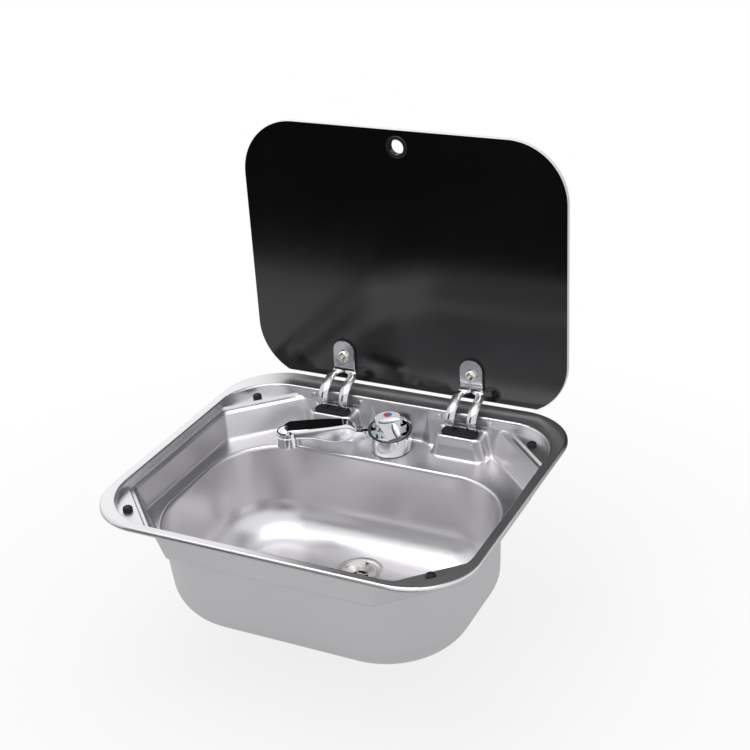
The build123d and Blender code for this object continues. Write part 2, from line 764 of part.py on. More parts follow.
# ---------------------------------------------------------------- hinge brackets behind the pillars
BRACKET_FRONT = PILLAR_Y + SHEET
for side, word in ((-1, "left"), (1, "right")):
    centre = side * HINGE_X
    with BuildPart() as hinge_bracket:
        with BuildSketch(facing(BRACKET_FRONT)):
            with Locations((centre, BRACKET_LOW_Z)):
                Rectangle(
                    2 * BRACKET_HALF, BRACKET_TOP_Z - BRACKET_LOW_Z, align=(Align.CENTER, Align.MIN)
                )
            with Locations(*rivet_places()):
                Circle(RIVET_RADIUS, mode=Mode.SUBTRACT)
        extrude(amount=-BRACKET_SHEET)
        for turn in (-1, 1):
            with BuildSketch(Plane.YZ.offset(centre + turn * (CHEEK_INNER + BRACKET_SHEET / 2))):
                with Locations(((BRACKET_FRONT + CHEEK_REAR) / 2, (BRACKET_TOP_Z + CHEEK_LOW_Z) / 2)):
                    Rectangle(CHEEK_REAR - BRACKET_FRONT, BRACKET_TOP_Z - CHEEK_LOW_Z)
            extrude(amount=BRACKET_SHEET / 2, both=True)
        free_corners = hinge_bracket.edges().filter_by(Axis.X).group_by(Axis.Y)[-1]
        fillet(free_corners, BRACKET_CORNER)
        with BuildSketch(Plane.YZ.offset(centre - BRACKET_HALF)):
            with Locations((PIVOT_Y, PIVOT_Z)):
                Circle(PIN_RADIUS)
        extrude(amount=2 * BRACKET_HALF, mode=Mode.SUBTRACT)
    finish(hinge_bracket, f"hinge_bracket_{word}")

    pin_half = CHEEK_INNER + BRACKET_SHEET
    with BuildPart() as hinge_pin:
        with BuildSketch(Plane.YZ.offset(centre - pin_half - PIN_HEAD)):
            with Locations((PIVOT_Y, PIVOT_Z)):
                Circle(PIN_RADIUS)
        extrude(amount=2 * pin_half + 2 * PIN_HEAD)
        for low in (-pin_half - PIN_HEAD, pin_half):
            with BuildSketch(Plane.YZ.offset(centre + low)):
                with Locations((PIVOT_Y, PIVOT_Z)):
                    Circle(PIN_HEAD_RADIUS)
            extrude(amount=PIN_HEAD)
    finish(hinge_pin, f"hinge_pin_{word}")

    with BuildPart() as slot_rubber:
        with BuildSketch(Plane.XY.offset(BUMP_TOP_Z)):
            with Locations((centre, (RUBBER_FRONT + RUBBER_REAR) / 2)):
                RectangleRounded(2 * RUBBER_HALF, RUBBER_REAR - RUBBER_FRONT, RUBBER_CORNER)
        extrude(amount=RUBBER_LIP)
        fillet(slot_rubber.edges().group_by(Axis.Z)[-1], 0.8)
        with BuildSketch(Plane.XY.offset(BUMP_TOP_Z)):
            with Locations((centre, (SLOT_FRONT + SLOT_REAR) / 2)):
                RectangleRounded(2 * SLOT_HALF, SLOT_REAR - SLOT_FRONT, SLOT_CORNER)
        extrude(amount=-RUBBER_NECK)
        window_half = (ARM_OUTER - ARM_INNER) / 2 + ARM_GAP
        window_depth = SLOT_REAR - SLOT_FRONT - 2 * RUBBER_WALL
        for turn in (-1, 1):
            with BuildSketch(Plane.XY.offset(BUMP_TOP_Z - 5)):
                with Locations(
                    (centre + turn * (ARM_OUTER + ARM_INNER) / 2, (SLOT_FRONT + SLOT_REAR) / 2)
                ):
                    Rectangle(2 * window_half, window_depth)
            extrude(amount=10, mode=Mode.SUBTRACT)
    finish(slot_rubber, f"slot_rubber_{word}")

# washers between each eye and its cheek, and the tubes between the two eyes
with BuildPart() as hinge_washers:
    for side in (-1, 1):
        for turn in (-1, 1):
            near = side * HINGE_X + turn * (ARM_OUTER + 0.3)
            length = CHEEK_INNER - ARM_OUTER - 0.3
            with BuildSketch(Plane.YZ.offset(near)):
                with Locations((PIVOT_Y, PIVOT_Z)):
                    Circle(EYE_RADIUS - 0.3)
                    Circle(PIN_RADIUS, mode=Mode.SUBTRACT)
            extrude(amount=turn * length)
finish(hinge_washers, "hinge_washers")

with BuildPart() as hinge_spacers:
    for side in (-1, 1):
        with BuildSketch(Plane.YZ.offset(side * HINGE_X)):
            with Locations((PIVOT_Y, PIVOT_Z)):
                Circle(EYE_RADIUS - 0.7)
                Circle(PIN_RADIUS, mode=Mode.SUBTRACT)
        extrude(amount=ARM_INNER - 0.3, both=True)
finish(hinge_spacers, "hinge_spacers")

with BuildPart() as bracket_rivets:
    with BuildSketch(facing(RIVET_SEAT_Y)):
        with Locations(*rivet_places()):
            Circle(RIVET_HEAD_RADIUS)
    extrude(amount=RIVET_HEAD)
    fillet(bracket_rivets.edges().group_by(Axis.Y)[0], RIVET_HEAD - 0.25)
    with BuildSketch(facing(RIVET_SEAT_Y)):
        with Locations(*rivet_places()):
            Circle(RIVET_RADIUS)
    extrude(amount=RIVET_SEAT_Y - BRACKET_FRONT - BRACKET_SHEET)
    with BuildSketch(facing(BRACKET_FRONT + BRACKET_SHEET)):
        with Locations(*rivet_places()):
            Circle(RIVET_TAIL_RADIUS)
    extrude(amount=-RIVET_TAIL)
    with BuildSketch(facing(RIVET_SEAT_Y - RIVET_HEAD)):
        with Locations(*rivet_places()):
            Circle(RIVET_BORE)
    extrude(amount=-RIVET_BORE_DEPTH, mode=Mode.SUBTRACT)
finish(bracket_rivets, "bracket_rivets")

# ---------------------------------------------------------------- drain
recess_z = BASIN_FLOOR_Z - DRAIN_RECESS_DEPTH
under_z = recess_z - SHEET
flange_profile = (
    (DRAIN_FLANGE_RADIUS, recess_z),
    (DRAIN_FLANGE_RADIUS, recess_z + 0.8),
    (DRAIN_FLANGE_RADIUS - 0.8, recess_z + 1.5),
    (DRAIN_DISH_RADIUS + 0.8, recess_z + 1.5),
    (DRAIN_DISH_RADIUS, recess_z + 0.6),
    (DRAIN_DISH_RADIUS - 1.5, recess_z - 1.4),
    (DRAIN_WELL_RADIUS, recess_z - 4.0),
    (DRAIN_WELL_RADIUS, recess_z - 7.0),
    (DRAIN_HOLE_RADIUS - 2.4, recess_z - 5.0),
    (DRAIN_HOLE_RADIUS - 2.4, recess_z - 13.0),
    (DRAIN_HOLE_RADIUS, recess_z - 13.0),
    (DRAIN_HOLE_RADIUS, recess_z),
)
with BuildPart() as drain_flange:
    add(turned(flange_profile, DRAIN_X, DRAIN_Y))
    with BuildSketch(Plane.XY.offset(recess_z - 7.0)):
        with Locations((DRAIN_X, DRAIN_Y)):
            Rectangle(2 * DRAIN_WELL_RADIUS + 1, CROSS_BAR, rotation=45)
            Rectangle(2 * DRAIN_WELL_RADIUS + 1, CROSS_BAR, rotation=-45)
            Circle(DRAIN_BOSS_RADIUS)
    extrude(amount=2.6)
    with Locations((DRAIN_X, DRAIN_Y, recess_z)):
        Cylinder(DRAIN_SCREW_RADIUS, 30, mode=Mode.SUBTRACT)
finish(drain_flange, "drain_flange")

with BuildPart() as drain_gasket:
    with BuildSketch(Plane.XY.offset(under_z)):
        with Locations((DRAIN_X, DRAIN_Y)):
            Circle(DRAIN_RECESS_RADIUS - 0.5)
            Circle(DRAIN_HOLE_RADIUS, mode=Mode.SUBTRACT)
    extrude(amount=-DRAIN_GASKET)
finish(drain_gasket, "drain_gasket")

tail_top = under_z - DRAIN_GASKET
tail_profile = (
    (DRAIN_HOLE_RADIUS, tail_top),
    (DRAIN_RECESS_RADIUS - 0.5, tail_top),
    (DRAIN_RECESS_RADIUS - 0.5, tail_top - 3.5),
    (DRAIN_HOLE_RADIUS + 2.5, tail_top - 3.5),
    (DRAIN_HOLE_RADIUS + 2.5, tail_top - 14.0),
    (TAIL_BARB_RADIUS + 1.5, tail_top - 20.0),
    (TAIL_BARB_RADIUS, tail_top - 20.0),
    (TAIL_BARB_RADIUS, DRAIN_END_Z + 14.0),
    (TAIL_BARB_RADIUS - 0.8, DRAIN_END_Z + 14.0),
    (TAIL_BARB_RADIUS, DRAIN_END_Z + 8.0),
    (TAIL_BARB_RADIUS - 0.8, DRAIN_END_Z + 8.0),
    (TAIL_BARB_RADIUS, DRAIN_END_Z + 2.0),
    (TAIL_BARB_RADIUS - 0.8, DRAIN_END_Z),
    (TAIL_BARB_RADIUS - 2.0, DRAIN_END_Z),
    (TAIL_BARB_RADIUS - 2.0, tail_top - 18.0),
    (DRAIN_HOLE_RADIUS, tail_top - 11.5),
)
with BuildPart() as drain_tail:
    add(turned(tail_profile, DRAIN_X, DRAIN_Y))
    with BuildSketch(Plane.XY.offset(tail_top - 18.0)):
        with Locations((DRAIN_X, DRAIN_Y)):
            Rectangle(2 * TAIL_BARB_RADIUS, 3.0)
            Circle(DRAIN_BOSS_RADIUS + 0.6)
    extrude(amount=6)
    with Locations((DRAIN_X, DRAIN_Y, tail_top - 11)):
        Cylinder(DRAIN_SCREW_RADIUS, 8, mode=Mode.SUBTRACT)
finish(drain_tail, "drain_tail")

with BuildPart() as drain_screw:
    with BuildSketch(Plane.XY.offset(recess_z - 4.4)):
        with Locations((DRAIN_X, DRAIN_Y)):
            Circle(DRAIN_SCREW_RADIUS + 1.8)
    extrude(amount=1.9)
    fillet(drain_screw.edges().group_by(Axis.Z)[-1], 1.0)
    with BuildSketch(Plane.XY.offset(recess_z - 2.5)):
        with Locations((DRAIN_X, DRAIN_Y)):
            Rectangle(8, 0.9, rotation=30)
    extrude(amount=-0.9, mode=Mode.SUBTRACT)
    with BuildSketch(Plane.XY.offset(recess_z - 4.4)):
        with Locations((DRAIN_X, DRAIN_Y)):
            Circle(DRAIN_SCREW_RADIUS)
    extrude(amount=-(recess_z - 4.4 - tail_top) - 15)
finish(drain_screw, "drain_screw")

# ---------------------------------------------------------------- tap: fixed parts
tap_tails = ((TAP_X - TAIL_OFFSET, TAP_Y), (TAP_X + TAIL_OFFSET, TAP_Y))
ledge_under = LOWER_LEDGE_Z - SHEET
with BuildPart() as tap_gasket:
    with BuildSketch(Plane.XY.offset(LOWER_LEDGE_Z)):
        with Locations((TAP_X, TAP_Y)):
            Circle(BASE_RADIUS - 0.3)
            Circle(SHANK_RADIUS, mode=Mode.SUBTRACT)
    extrude(amount=TAP_GASKET)
finish(tap_gasket, "tap_gasket")

base_z = LOWER_LEDGE_Z + TAP_GASKET
base_profile = (
    (CARTRIDGE_RADIUS, CARTRIDGE_FOOT_Z),
    (CARTRIDGE_RADIUS, COLUMN_TOP_Z),
    (SHANK_RADIUS, COLUMN_TOP_Z),
    (SHANK_RADIUS, base_z + BASE_THICK),
    (BASE_RADIUS - 0.6, base_z + BASE_THICK),
    (BASE_RADIUS, base_z + BASE_THICK - 0.6),
    (BASE_RADIUS, base_z),
    (SHANK_RADIUS, base_z),
    (SHANK_RADIUS, SHANK_END_Z + 1.0),
    (SHANK_RADIUS - 1.0, SHANK_END_Z),
    (0, SHANK_END_Z),
    (0, CARTRIDGE_FOOT_Z),
)
with BuildPart() as tap_base:
    add(turned(base_profile, TAP_X, TAP_Y))
    with BuildSketch(Plane.XY.offset(SHANK_END_Z)):
        with Locations(*tap_tails):
            Circle(TAIL_RADIUS)
    extrude(amount=30, mode=Mode.SUBTRACT)
finish(tap_base, "tap_base")

with BuildPart() as tap_washer:
    with BuildSketch(Plane.XY.offset(ledge_under)):
        with Locations((TAP_X, TAP_Y)):
            Circle(BASE_RADIUS)
            Circle(SHANK_RADIUS, mode=Mode.SUBTRACT)
    extrude(amount=-WASHER_THICK)
finish(tap_washer, "tap_washer")

with BuildPart() as tap_nut:
    with BuildSketch(Plane.XY.offset(ledge_under - WASHER_THICK)):
        with Locations((TAP_X, TAP_Y)):
            RegularPolygon(NUT_ACROSS_FLATS / 2, 6, major_radius=False)
            Circle(SHANK_RADIUS, mode=Mode.SUBTRACT)
    extrude(amount=-NUT_HEIGHT)
    chamfer(tap_nut.faces().sort_by(Axis.Z)[0].outer_wire().edges(), 0.8)
finish(tap_nut, "tap_nut")

for place, turn, word in zip(tap_tails, (-1, 1), ("hot", "cold")):
    with BuildPart() as inlet_tail:
        with BuildLine(facing(TAP_Y)) as route:
            FilletPolyline(
                (place[0], CARTRIDGE_FOOT_Z),
                (place[0], TAIL_BEND_TOP_Z),
                (place[0] + turn * TAIL_SPREAD, TAIL_BEND_LOW_Z),
                (place[0] + turn * TAIL_SPREAD, TAIL_END_Z),
                radius=TAIL_BEND,
            )
        with BuildSketch(Plane.XY.offset(CARTRIDGE_FOOT_Z)):
            with Locations(place):
                Circle(TAIL_RADIUS)
                Circle(TAIL_RADIUS - TAIL_WALL, mode=Mode.SUBTRACT)
        sweep(path=route.wire())
    finish(inlet_tail, f"inlet_tail_{word}")

with BuildPart() as tap_cartridge:
    with BuildSketch(Plane.XY.offset(CARTRIDGE_FOOT_Z)):
        with Locations((TAP_X, TAP_Y)):
            Circle(CARTRIDGE_RADIUS)
    extrude(amount=COLUMN_TOP_Z - 0.4 - CARTRIDGE_FOOT_Z)
    with BuildSketch(Plane.XY.offset(SPINDLE_FOOT_Z)):
        with Locations((TAP_X, TAP_Y)):
            Circle(SPINDLE_RADIUS + RUNNING_FIT)
    extrude(amount=30, mode=Mode.SUBTRACT)
finish(tap_cartridge, "tap_cartridge")

# ---------------------------------------------------------------- tap: turning head
# local X points away from the spout, local Y to the back of the head
head_turn = radians(TAP_TURN)
HEAD = Plane(origin=(TAP_X, TAP_Y, 0), x_dir=(cos(head_turn), sin(head_turn), 0), z_dir=(0, 0, 1))
HEAD_SIDE = Plane(origin=HEAD.origin, x_dir=HEAD.y_dir, z_dir=HEAD.x_dir)
SPOUT_SIDE = Plane(origin=HEAD.origin, x_dir=-HEAD.x_dir, z_dir=HEAD.y_dir)


def below_slope(side, height, tilt, shift=0.0):
    """Large block under a plane that falls towards the front, seen from the given side."""
    with BuildPart() as block:
        with BuildSketch(side):
            with BuildLine():
                drop = 60 * tan(radians(tilt))
                Polyline(
                    (-60, -80),
                    (60, -80),
                    (60, height + drop + shift),
                    (-60, height - drop + shift),
                    close=True,
                )
            make_face()
        extrude(amount=60, both=True)
    return block.part


with BuildPart() as cup:
    with BuildSketch(Plane(origin=HEAD.origin, x_dir=(1, 0, 0), z_dir=(0, -1, 0))):
        with BuildLine():
            ball_side = (CUP_BORE**2 - (CUP_FLOOR_Z - BALL_Z) ** 2) ** 0.5
            Polyline(
                (SHANK_RADIUS + 0.08, CUP_FOOT_Z),
                (CUP_SKIRT_BORE, CUP_FOOT_Z),
                (CUP_SKIRT_BORE, CUP_SKIRT_Z),
                (CUP_SKIRT_RADIUS, CUP_SKIRT_Z),
            )
            ThreePointArc(
                (CUP_SKIRT_RADIUS, CUP_SKIRT_Z),
                (CUP_WAIST_RADIUS, CUP_WAIST_Z),
                (CUP_RIM_RADIUS, BALL_Z + 2),
            )
            Line((CUP_RIM_RADIUS, BALL_Z + 2), (CUP_RIM_RADIUS, 0))
            Line((CUP_RIM_RADIUS, 0), (CUP_BORE, 0))
            Line((CUP_BORE, 0), (CUP_BORE, BALL_Z))
            RadiusArc((CUP_BORE, BALL_Z), (ball_side, CUP_FLOOR_Z), CUP_BORE)
            Line((ball_side, CUP_FLOOR_Z), (SHANK_RADIUS + 0.08, CUP_FLOOR_Z))
            Line((SHANK_RADIUS + 0.08, CUP_FLOOR_Z), (SHANK_RADIUS + 0.08, CUP_FOOT_Z))
        make_face()
    revolve(axis=Axis(HEAD.origin, (0, 0, 1)))
with BuildPart() as tap_body:
    add(cup.part)
    add(below_slope(HEAD_SIDE, CUP_RIM_Z, CUP_RIM_TILT), mode=Mode.INTERSECT)
    # neck and eye for the folding spout
    with BuildSketch(SPOUT_SIDE):
        with Locations(((CUP_RIM_RADIUS - 1.0 + KNUCKLE_REACH) / 2, KNUCKLE_Z)):
            Rectangle(KNUCKLE_REACH - CUP_RIM_RADIUS + 1.0, 2 * NECK_HALF_HEIGHT)
        with Locations((KNUCKLE_REACH, KNUCKLE_Z)):
            Circle(KNUCKLE_RADIUS - 0.5)
    extrude(amount=NECK_HALF, both=True)
    with BuildSketch(SPOUT_SIDE):
        with Locations((KNUCKLE_REACH, KNUCKLE_Z)):
            Circle(KNUCKLE_PIN_RADIUS)
    extrude(amount=NECK_HALF + 1, both=True, mode=Mode.SUBTRACT)
finish(tap_body, "tap_body")

with BuildPart() as spout_pin:
    with BuildSketch(SPOUT_SIDE):
        with Locations((KNUCKLE_REACH, KNUCKLE_Z)):
            Circle(KNUCKLE_PIN_RADIUS)
    extrude(amount=FORK_HALF, both=True)
finish(spout_pin, "spout_pin")

with BuildPart() as spout_hull:
    for reach, half, top, bottom, corner in SPOUT_SECTIONS:
        with BuildSketch(
            Plane(
                origin=HEAD.origin - HEAD.x_dir * reach + Vector(0, 0, (top + bottom) / 2),
                x_dir=HEAD.y_dir,
                z_dir=-HEAD.x_dir,
            )
        ):
            RectangleRounded(2 * half, top - bottom, corner)
    loft()
nozzle = HEAD.origin - HEAD.x_dir * NOZZLE_REACH + HEAD.y_dir * NOZZLE_SIDE
outlet = HEAD.origin - HEAD.x_dir * AERATOR_REACH + HEAD.y_dir * NOZZLE_SIDE
with BuildPart() as nozzle_ball:
    with Locations(nozzle + Vector(0, 0, NOZZLE_BALL_Z)):
        Sphere(NOZZLE_RADIUS)
    with BuildSketch(Plane.XY.offset(AERATOR_TOP_Z)):
        Rectangle(FAR, FAR)
    extrude(amount=-FAR, mode=Mode.SUBTRACT)
with BuildPart() as spout_seat:
    with BuildSketch(Plane(origin=outlet + Vector(0, 0, AERATOR_TOP_Z))):
        Circle(AERATOR_RADIUS - 1.2)
    extrude(amount=NOZZLE_BALL_Z + NOZZLE_RADIUS - 4 - AERATOR_TOP_Z)
with BuildPart() as above_spout:
    with BuildSketch(SPOUT_SIDE):
        Polygon(
            (SPOUT_ROOT_REACH - 20, SPOUT_ROOT_Z),
            (SPOUT_ROOT_REACH, SPOUT_ROOT_Z),
            (SPOUT_TIP_REACH + 10, SPOUT_TIP_Z),
            (SPOUT_TIP_REACH + 10, 20),
            (SPOUT_ROOT_REACH - 20, 20),
            align=None,
        )
    extrude(amount=40, both=True)
with BuildPart() as past_tip:
    with BuildSketch(HEAD.offset(-40)):
        with Locations((-SPOUT_TIP_REACH - 10, 0)):
            Rectangle(SPOUT_TIP_RADIUS + 10, 60, align=(Align.MIN, Align.CENTER))
        with Locations((SPOUT_TIP_RADIUS - SPOUT_TIP_REACH, 0)):
            Circle(SPOUT_TIP_RADIUS, mode=Mode.SUBTRACT)
    extrude(amount=60)
with BuildPart() as tap_spout:
    add(spout_hull.part)
    add(above_spout.part, mode=Mode.SUBTRACT)
    add(past_tip.part, mode=Mode.SUBTRACT)
    add(nozzle_ball.part)
    add(spout_seat.part)
    with BuildSketch(Plane.XY.offset(AERATOR_TOP_Z)):
        with Locations(outlet):
            Circle(AERATOR_RADIUS + 0.4)
    extrude(amount=-30, mode=Mode.SUBTRACT)
    with BuildSketch(SPOUT_SIDE):
        with Locations((KNUCKLE_REACH, KNUCKLE_Z)):
            Circle(KNUCKLE_RADIUS)
        with Locations((KNUCKLE_REACH, KNUCKLE_Z)):
            Rectangle(8, 2 * KNUCKLE_RADIUS, align=(Align.MIN, Align.CENTER))
    extrude(amount=FORK_HALF, both=True)
    with BuildSketch(SPOUT_SIDE):
        with Locations((KNUCKLE_REACH, KNUCKLE_Z)):
            Circle(KNUCKLE_RADIUS + 0.6)
        with Locations((KNUCKLE_REACH, KNUCKLE_Z)):
            Rectangle(20, 2 * KNUCKLE_RADIUS + 8, align=(Align.MAX, Align.CENTER))
    extrude(amount=NECK_HALF + FORK_GAP, both=True, mode=Mode.SUBTRACT)
    with BuildSketch(SPOUT_SIDE):
        with Locations((KNUCKLE_REACH, KNUCKLE_Z)):
            Circle(KNUCKLE_PIN_RADIUS + RUNNING_FIT)
    extrude(amount=FORK_HALF + 1, both=True, mode=Mode.SUBTRACT)
    with BuildSketch(Plane(origin=outlet + Vector(0, 0, AERATOR_TOP_Z))):
        Circle(WATERWAY_RADIUS)
    extrude(amount=WATERWAY_DEPTH, mode=Mode.SUBTRACT)
finish(tap_spout, "tap_spout")

with BuildPart() as spout_aerator:
    with BuildSketch(Plane(origin=outlet + Vector(0, 0, AERATOR_FOOT_Z))):
        Circle(AERATOR_RADIUS)
    extrude(amount=AERATOR_TOP_Z - AERATOR_FOOT_Z)
    chamfer(spout_aerator.edges().group_by(Axis.Z)[-1], 0.8)
    fillet(spout_aerator.edges().group_by(Axis.Z)[0], 0.8)
    with BuildSketch(Plane(origin=outlet + Vector(0, 0, AERATOR_FOOT_Z))):
        Circle(AERATOR_BORE)
    extrude(amount=3.0, mode=Mode.SUBTRACT)
    with BuildSketch(Plane(origin=outlet + Vector(0, 0, AERATOR_TOP_Z))):
        Circle(WATERWAY_RADIUS - 1.0)
    extrude(amount=-4.0, mode=Mode.SUBTRACT)
finish(spout_aerator, "spout_aerator")

# ---------------------------------------------------------------- tap: spindle, handle and its marks
# local X points to the handle's right, local Y to its back
knob_turn = radians(KNOB_TURN)
KNOB = Plane(origin=HEAD.origin, x_dir=(cos(knob_turn), sin(knob_turn), 0), z_dir=(0, 0, 1))
KNOB_SIDE = Plane(origin=KNOB.origin, x_dir=KNOB.y_dir, z_dir=KNOB.x_dir)


with BuildPart() as tap_spindle:
    with BuildSketch(Plane.XY.offset(SPINDLE_FOOT_Z)):
        with Locations((TAP_X, TAP_Y)):
            Circle(SPINDLE_RADIUS)
    extrude(amount=BALL_Z + SPINDLE_RADIUS - SPINDLE_FOOT_Z)
    with BuildSketch(KNOB_SIDE):
        with Locations((0, BALL_Z)):
            Circle(TRUNNION_RADIUS)
    extrude(amount=TRUNNION_HALF, both=True)
finish(tap_spindle, "tap_spindle")

# sloping top of the blade, seen square on: local X to the right, local Y up the slope
MARK_PLANE = Plane(
    origin=KNOB.from_local_coords(
        Vector(MARK_X, MARK_Y, BLADE_Z + MARK_Y * tan(radians(BLADE_TILT)))
    ),
    x_dir=KNOB.x_dir,
    z_dir=KNOB.z_dir.rotate(Axis((0, 0, 0), KNOB.x_dir), BLADE_TILT),
)


def slope_hollow(across, along, half_width, half_length, depth):
    """Oval hollow in the blade's slope."""
    oval = scale(Sphere(1), by=(half_width, half_length, depth))
    rise = Vector(across, along, BLADE_Z + along * tan(radians(BLADE_TILT)))
    seat = Plane(origin=KNOB.from_local_coords(rise), x_dir=KNOB.x_dir, z_dir=MARK_PLANE.z_dir)
    return seat.location * oval


def blade_outline(grow):
    """Blade of the handle seen from above, over the whole depth of the ball."""
    with BuildSketch(KNOB) as outline:
        Polygon(
            (-BLADE_FRONT_HALF - grow, -BALL_RADIUS - 1),
            (BLADE_FRONT_HALF + grow, -BALL_RADIUS - 1),
            (BLADE_REAR_HALF + grow, BLADE_REAR_Y),
            (BLADE_REAR_HALF + grow, BALL_RADIUS + 1),
            (-BLADE_REAR_HALF - grow, BALL_RADIUS + 1),
            (-BLADE_REAR_HALF - grow, BLADE_REAR_Y),
            align=None,
        )
    return outline.sketch_local


with BuildPart() as ball:
    with Locations(Vector(TAP_X, TAP_Y, BALL_Z)):
        Sphere(BALL_RADIUS)
    with BuildSketch(Plane.XY.offset(KNOB_FOOT_Z)):
        Rectangle(FAR, FAR)
    extrude(amount=-FAR, mode=Mode.SUBTRACT)

with BuildPart() as blade:
    with BuildSketch(KNOB.offset(-60)):
        add(blade_outline(0))
    extrude(amount=100)
    add(ball.part, mode=Mode.INTERSECT)
    add(below_slope(KNOB_SIDE, BLADE_Z, BLADE_TILT), mode=Mode.INTERSECT)

with BuildPart() as scoops:
    with BuildSketch(KNOB.offset(SCOOP_FLOOR_Z)):
        Circle(BALL_RADIUS)
        add(blade_outline(SCOOP_GAP), mode=Mode.SUBTRACT)
    extrude(amount=40)
    with Locations((TAP_X, TAP_Y, BALL_Z)):
        Sphere(BALL_RADIUS - SCOOP_RIM, mode=Mode.INTERSECT)

thumb_rest = slope_hollow(*THUMB_REST)
blade_groove = slope_hollow(*BLADE_GROOVE)
with BuildPart() as tap_handle:
    add(ball.part)
    add(below_slope(HEAD_SIDE, CUP_RIM_Z, CUP_RIM_TILT, HANDLE_RISE), mode=Mode.INTERSECT)
    add(scoops.part, mode=Mode.SUBTRACT)
    add(blade.part)
    # thumb rest below the marks, and the groove from it to the foot of the blade
    add(thumb_rest, mode=Mode.SUBTRACT)
    add(blade_groove, mode=Mode.SUBTRACT)
    # pocket for the spindle and bore for its cross pin
    with BuildSketch(KNOB.offset(KNOB_FOOT_Z - 1)):
        Rectangle(2 * POCKET_HALF, 2 * POCKET_REACH)
    extrude(amount=BALL_Z + SPINDLE_RADIUS + POCKET_ROOM - KNOB_FOOT_Z + 1, mode=Mode.SUBTRACT)
    with BuildSketch(KNOB_SIDE):
        with Locations((0, BALL_Z)):
            Circle(TRUNNION_RADIUS + RUNNING_FIT)
    extrude(amount=TRUNNION_HALF + 0.4, both=True, mode=Mode.SUBTRACT)
    # seats for the two marks
    with BuildSketch(MARK_PLANE):
        Ellipse(MARK_HALF, MARK_RISE)
    extrude(amount=-MARK_DEPTH, mode=Mode.SUBTRACT)
finish(tap_handle, "tap_handle")

for turn, word in ((-1, "hot"), (1, "cold")):
    with BuildPart() as mark:
        with BuildSketch(MARK_PLANE.offset(-MARK_DEPTH)):
            Ellipse(MARK_HALF, MARK_RISE)
            Rectangle(
                2 * MARK_HALF,
                4 * MARK_RISE,
                align=(Align.MAX if turn > 0 else Align.MIN, Align.CENTER),
                mode=Mode.SUBTRACT,
            )
        extrude(amount=MARK_DEPTH + 0.1)
    finish(mark, f"mark_{word}")
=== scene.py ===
"""Looks of a drop-in vehicle sink with a glass lid and a folding tap.

Every length is in metres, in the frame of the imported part: +X to the right along the hinge line,
+Y to the rear where the lid stands open, +Z up, with the worktop at Z = 0.
"""

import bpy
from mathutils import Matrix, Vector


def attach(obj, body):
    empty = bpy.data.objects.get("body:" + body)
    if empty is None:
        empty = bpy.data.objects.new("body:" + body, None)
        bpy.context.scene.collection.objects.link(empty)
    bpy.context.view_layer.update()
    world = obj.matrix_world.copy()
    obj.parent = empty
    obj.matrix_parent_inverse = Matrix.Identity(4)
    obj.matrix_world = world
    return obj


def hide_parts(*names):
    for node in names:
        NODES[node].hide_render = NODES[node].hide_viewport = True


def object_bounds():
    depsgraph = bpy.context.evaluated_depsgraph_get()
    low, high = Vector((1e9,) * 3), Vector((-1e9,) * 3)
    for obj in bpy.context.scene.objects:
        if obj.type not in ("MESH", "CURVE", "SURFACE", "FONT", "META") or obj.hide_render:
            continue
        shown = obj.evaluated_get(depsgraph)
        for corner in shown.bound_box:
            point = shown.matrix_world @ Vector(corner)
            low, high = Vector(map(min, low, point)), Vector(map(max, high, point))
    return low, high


bl_info = {
    "name": "Vehicle sink looks",
    "version": (1, 0, 0),
    "blender": (4, 5, 0),
    "location": "3D View > Sidebar > Sink",
    "description": "Finishes, detail pieces and stage for a drop-in sink with a glass lid",
    "category": "Object",
}

from math import cos, radians, sin

import bmesh
import bpy
from bpy.props import FloatProperty, FloatVectorProperty, PointerProperty
from mathutils import Matrix, Vector

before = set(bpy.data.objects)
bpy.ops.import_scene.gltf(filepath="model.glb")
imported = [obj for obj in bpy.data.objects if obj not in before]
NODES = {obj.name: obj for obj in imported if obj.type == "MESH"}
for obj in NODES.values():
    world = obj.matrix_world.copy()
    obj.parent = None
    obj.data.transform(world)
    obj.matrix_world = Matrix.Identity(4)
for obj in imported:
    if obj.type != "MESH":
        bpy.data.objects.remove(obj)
CAD_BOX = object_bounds()

SIDES = ("left", "right")
WHITE = (1, 1, 1, 1)

# brightness of the second tone of a finish, as a share of the first
STEEL_CLOUD = 0.94
HANDLING_MARK = 0.88
INLAY_DEPTH = 0.8

# a worn patch of rubber or plastic: its share of the colour, and the grey added to it
WORN_SHARE = 1.35
WORN_GREY = 0.004

# sockets of a colour mix and of a plain mix
MIX_FACTOR = 0
MIX_COLOURS = (6, 7)
MIX_COLOUR_OUT = 2
MIX_VALUES = (2, 3)

# the glass: how squarely a face looks along the lid's thickness to count as face or as edge; the
# edge carries a painted highlight
GLASS_FACE = 0.95
GLASS_EDGE = 0.80
GLASS_ROUGHNESS = (0.13, 0.17)
EDGE_ROUGHNESS = 0.42
GLASS_IOR = 1.8

# hinge arms: middle of each arm across, then depth and height of the pivot
HINGE_X = 0.080
PIVOT = (0.1657, -0.0110)
# radius of the eye's middle line, and the angles in degrees from which and to which it is bent
EYE = 0.0044
EYE_ANGLES = range(150, -91, -30)
# depth and height of the line that the middle of the sheet follows from its eye to its top
ARM_LINE = (
    (0.1590, -0.0166),
    (0.1510, -0.0176),
    (0.1448, -0.0158),
    (0.1420, -0.0105),
    (0.1408, -0.0035),
    (0.1434, 0.0056),
    (0.1500, 0.0118),
    (0.1585, 0.0160),
    (0.1672, 0.0186),
    (0.1735, 0.0208),
    (0.1761, 0.0262),
    (0.1761, 0.0340),
    (0.1761, 0.0480),
    (0.1761, 0.0610),
)
# spacing of the rows of points along the arm, and the number of faces across each strap
ARM_STEP = 0.0011
ARM_COLUMNS = 10
ARM_SHEET = 0.0022
ARM_EDGE = 0.0006
ARM_EDGE_STEPS = 3
ARM_EDGE_ANGLE = radians(50)
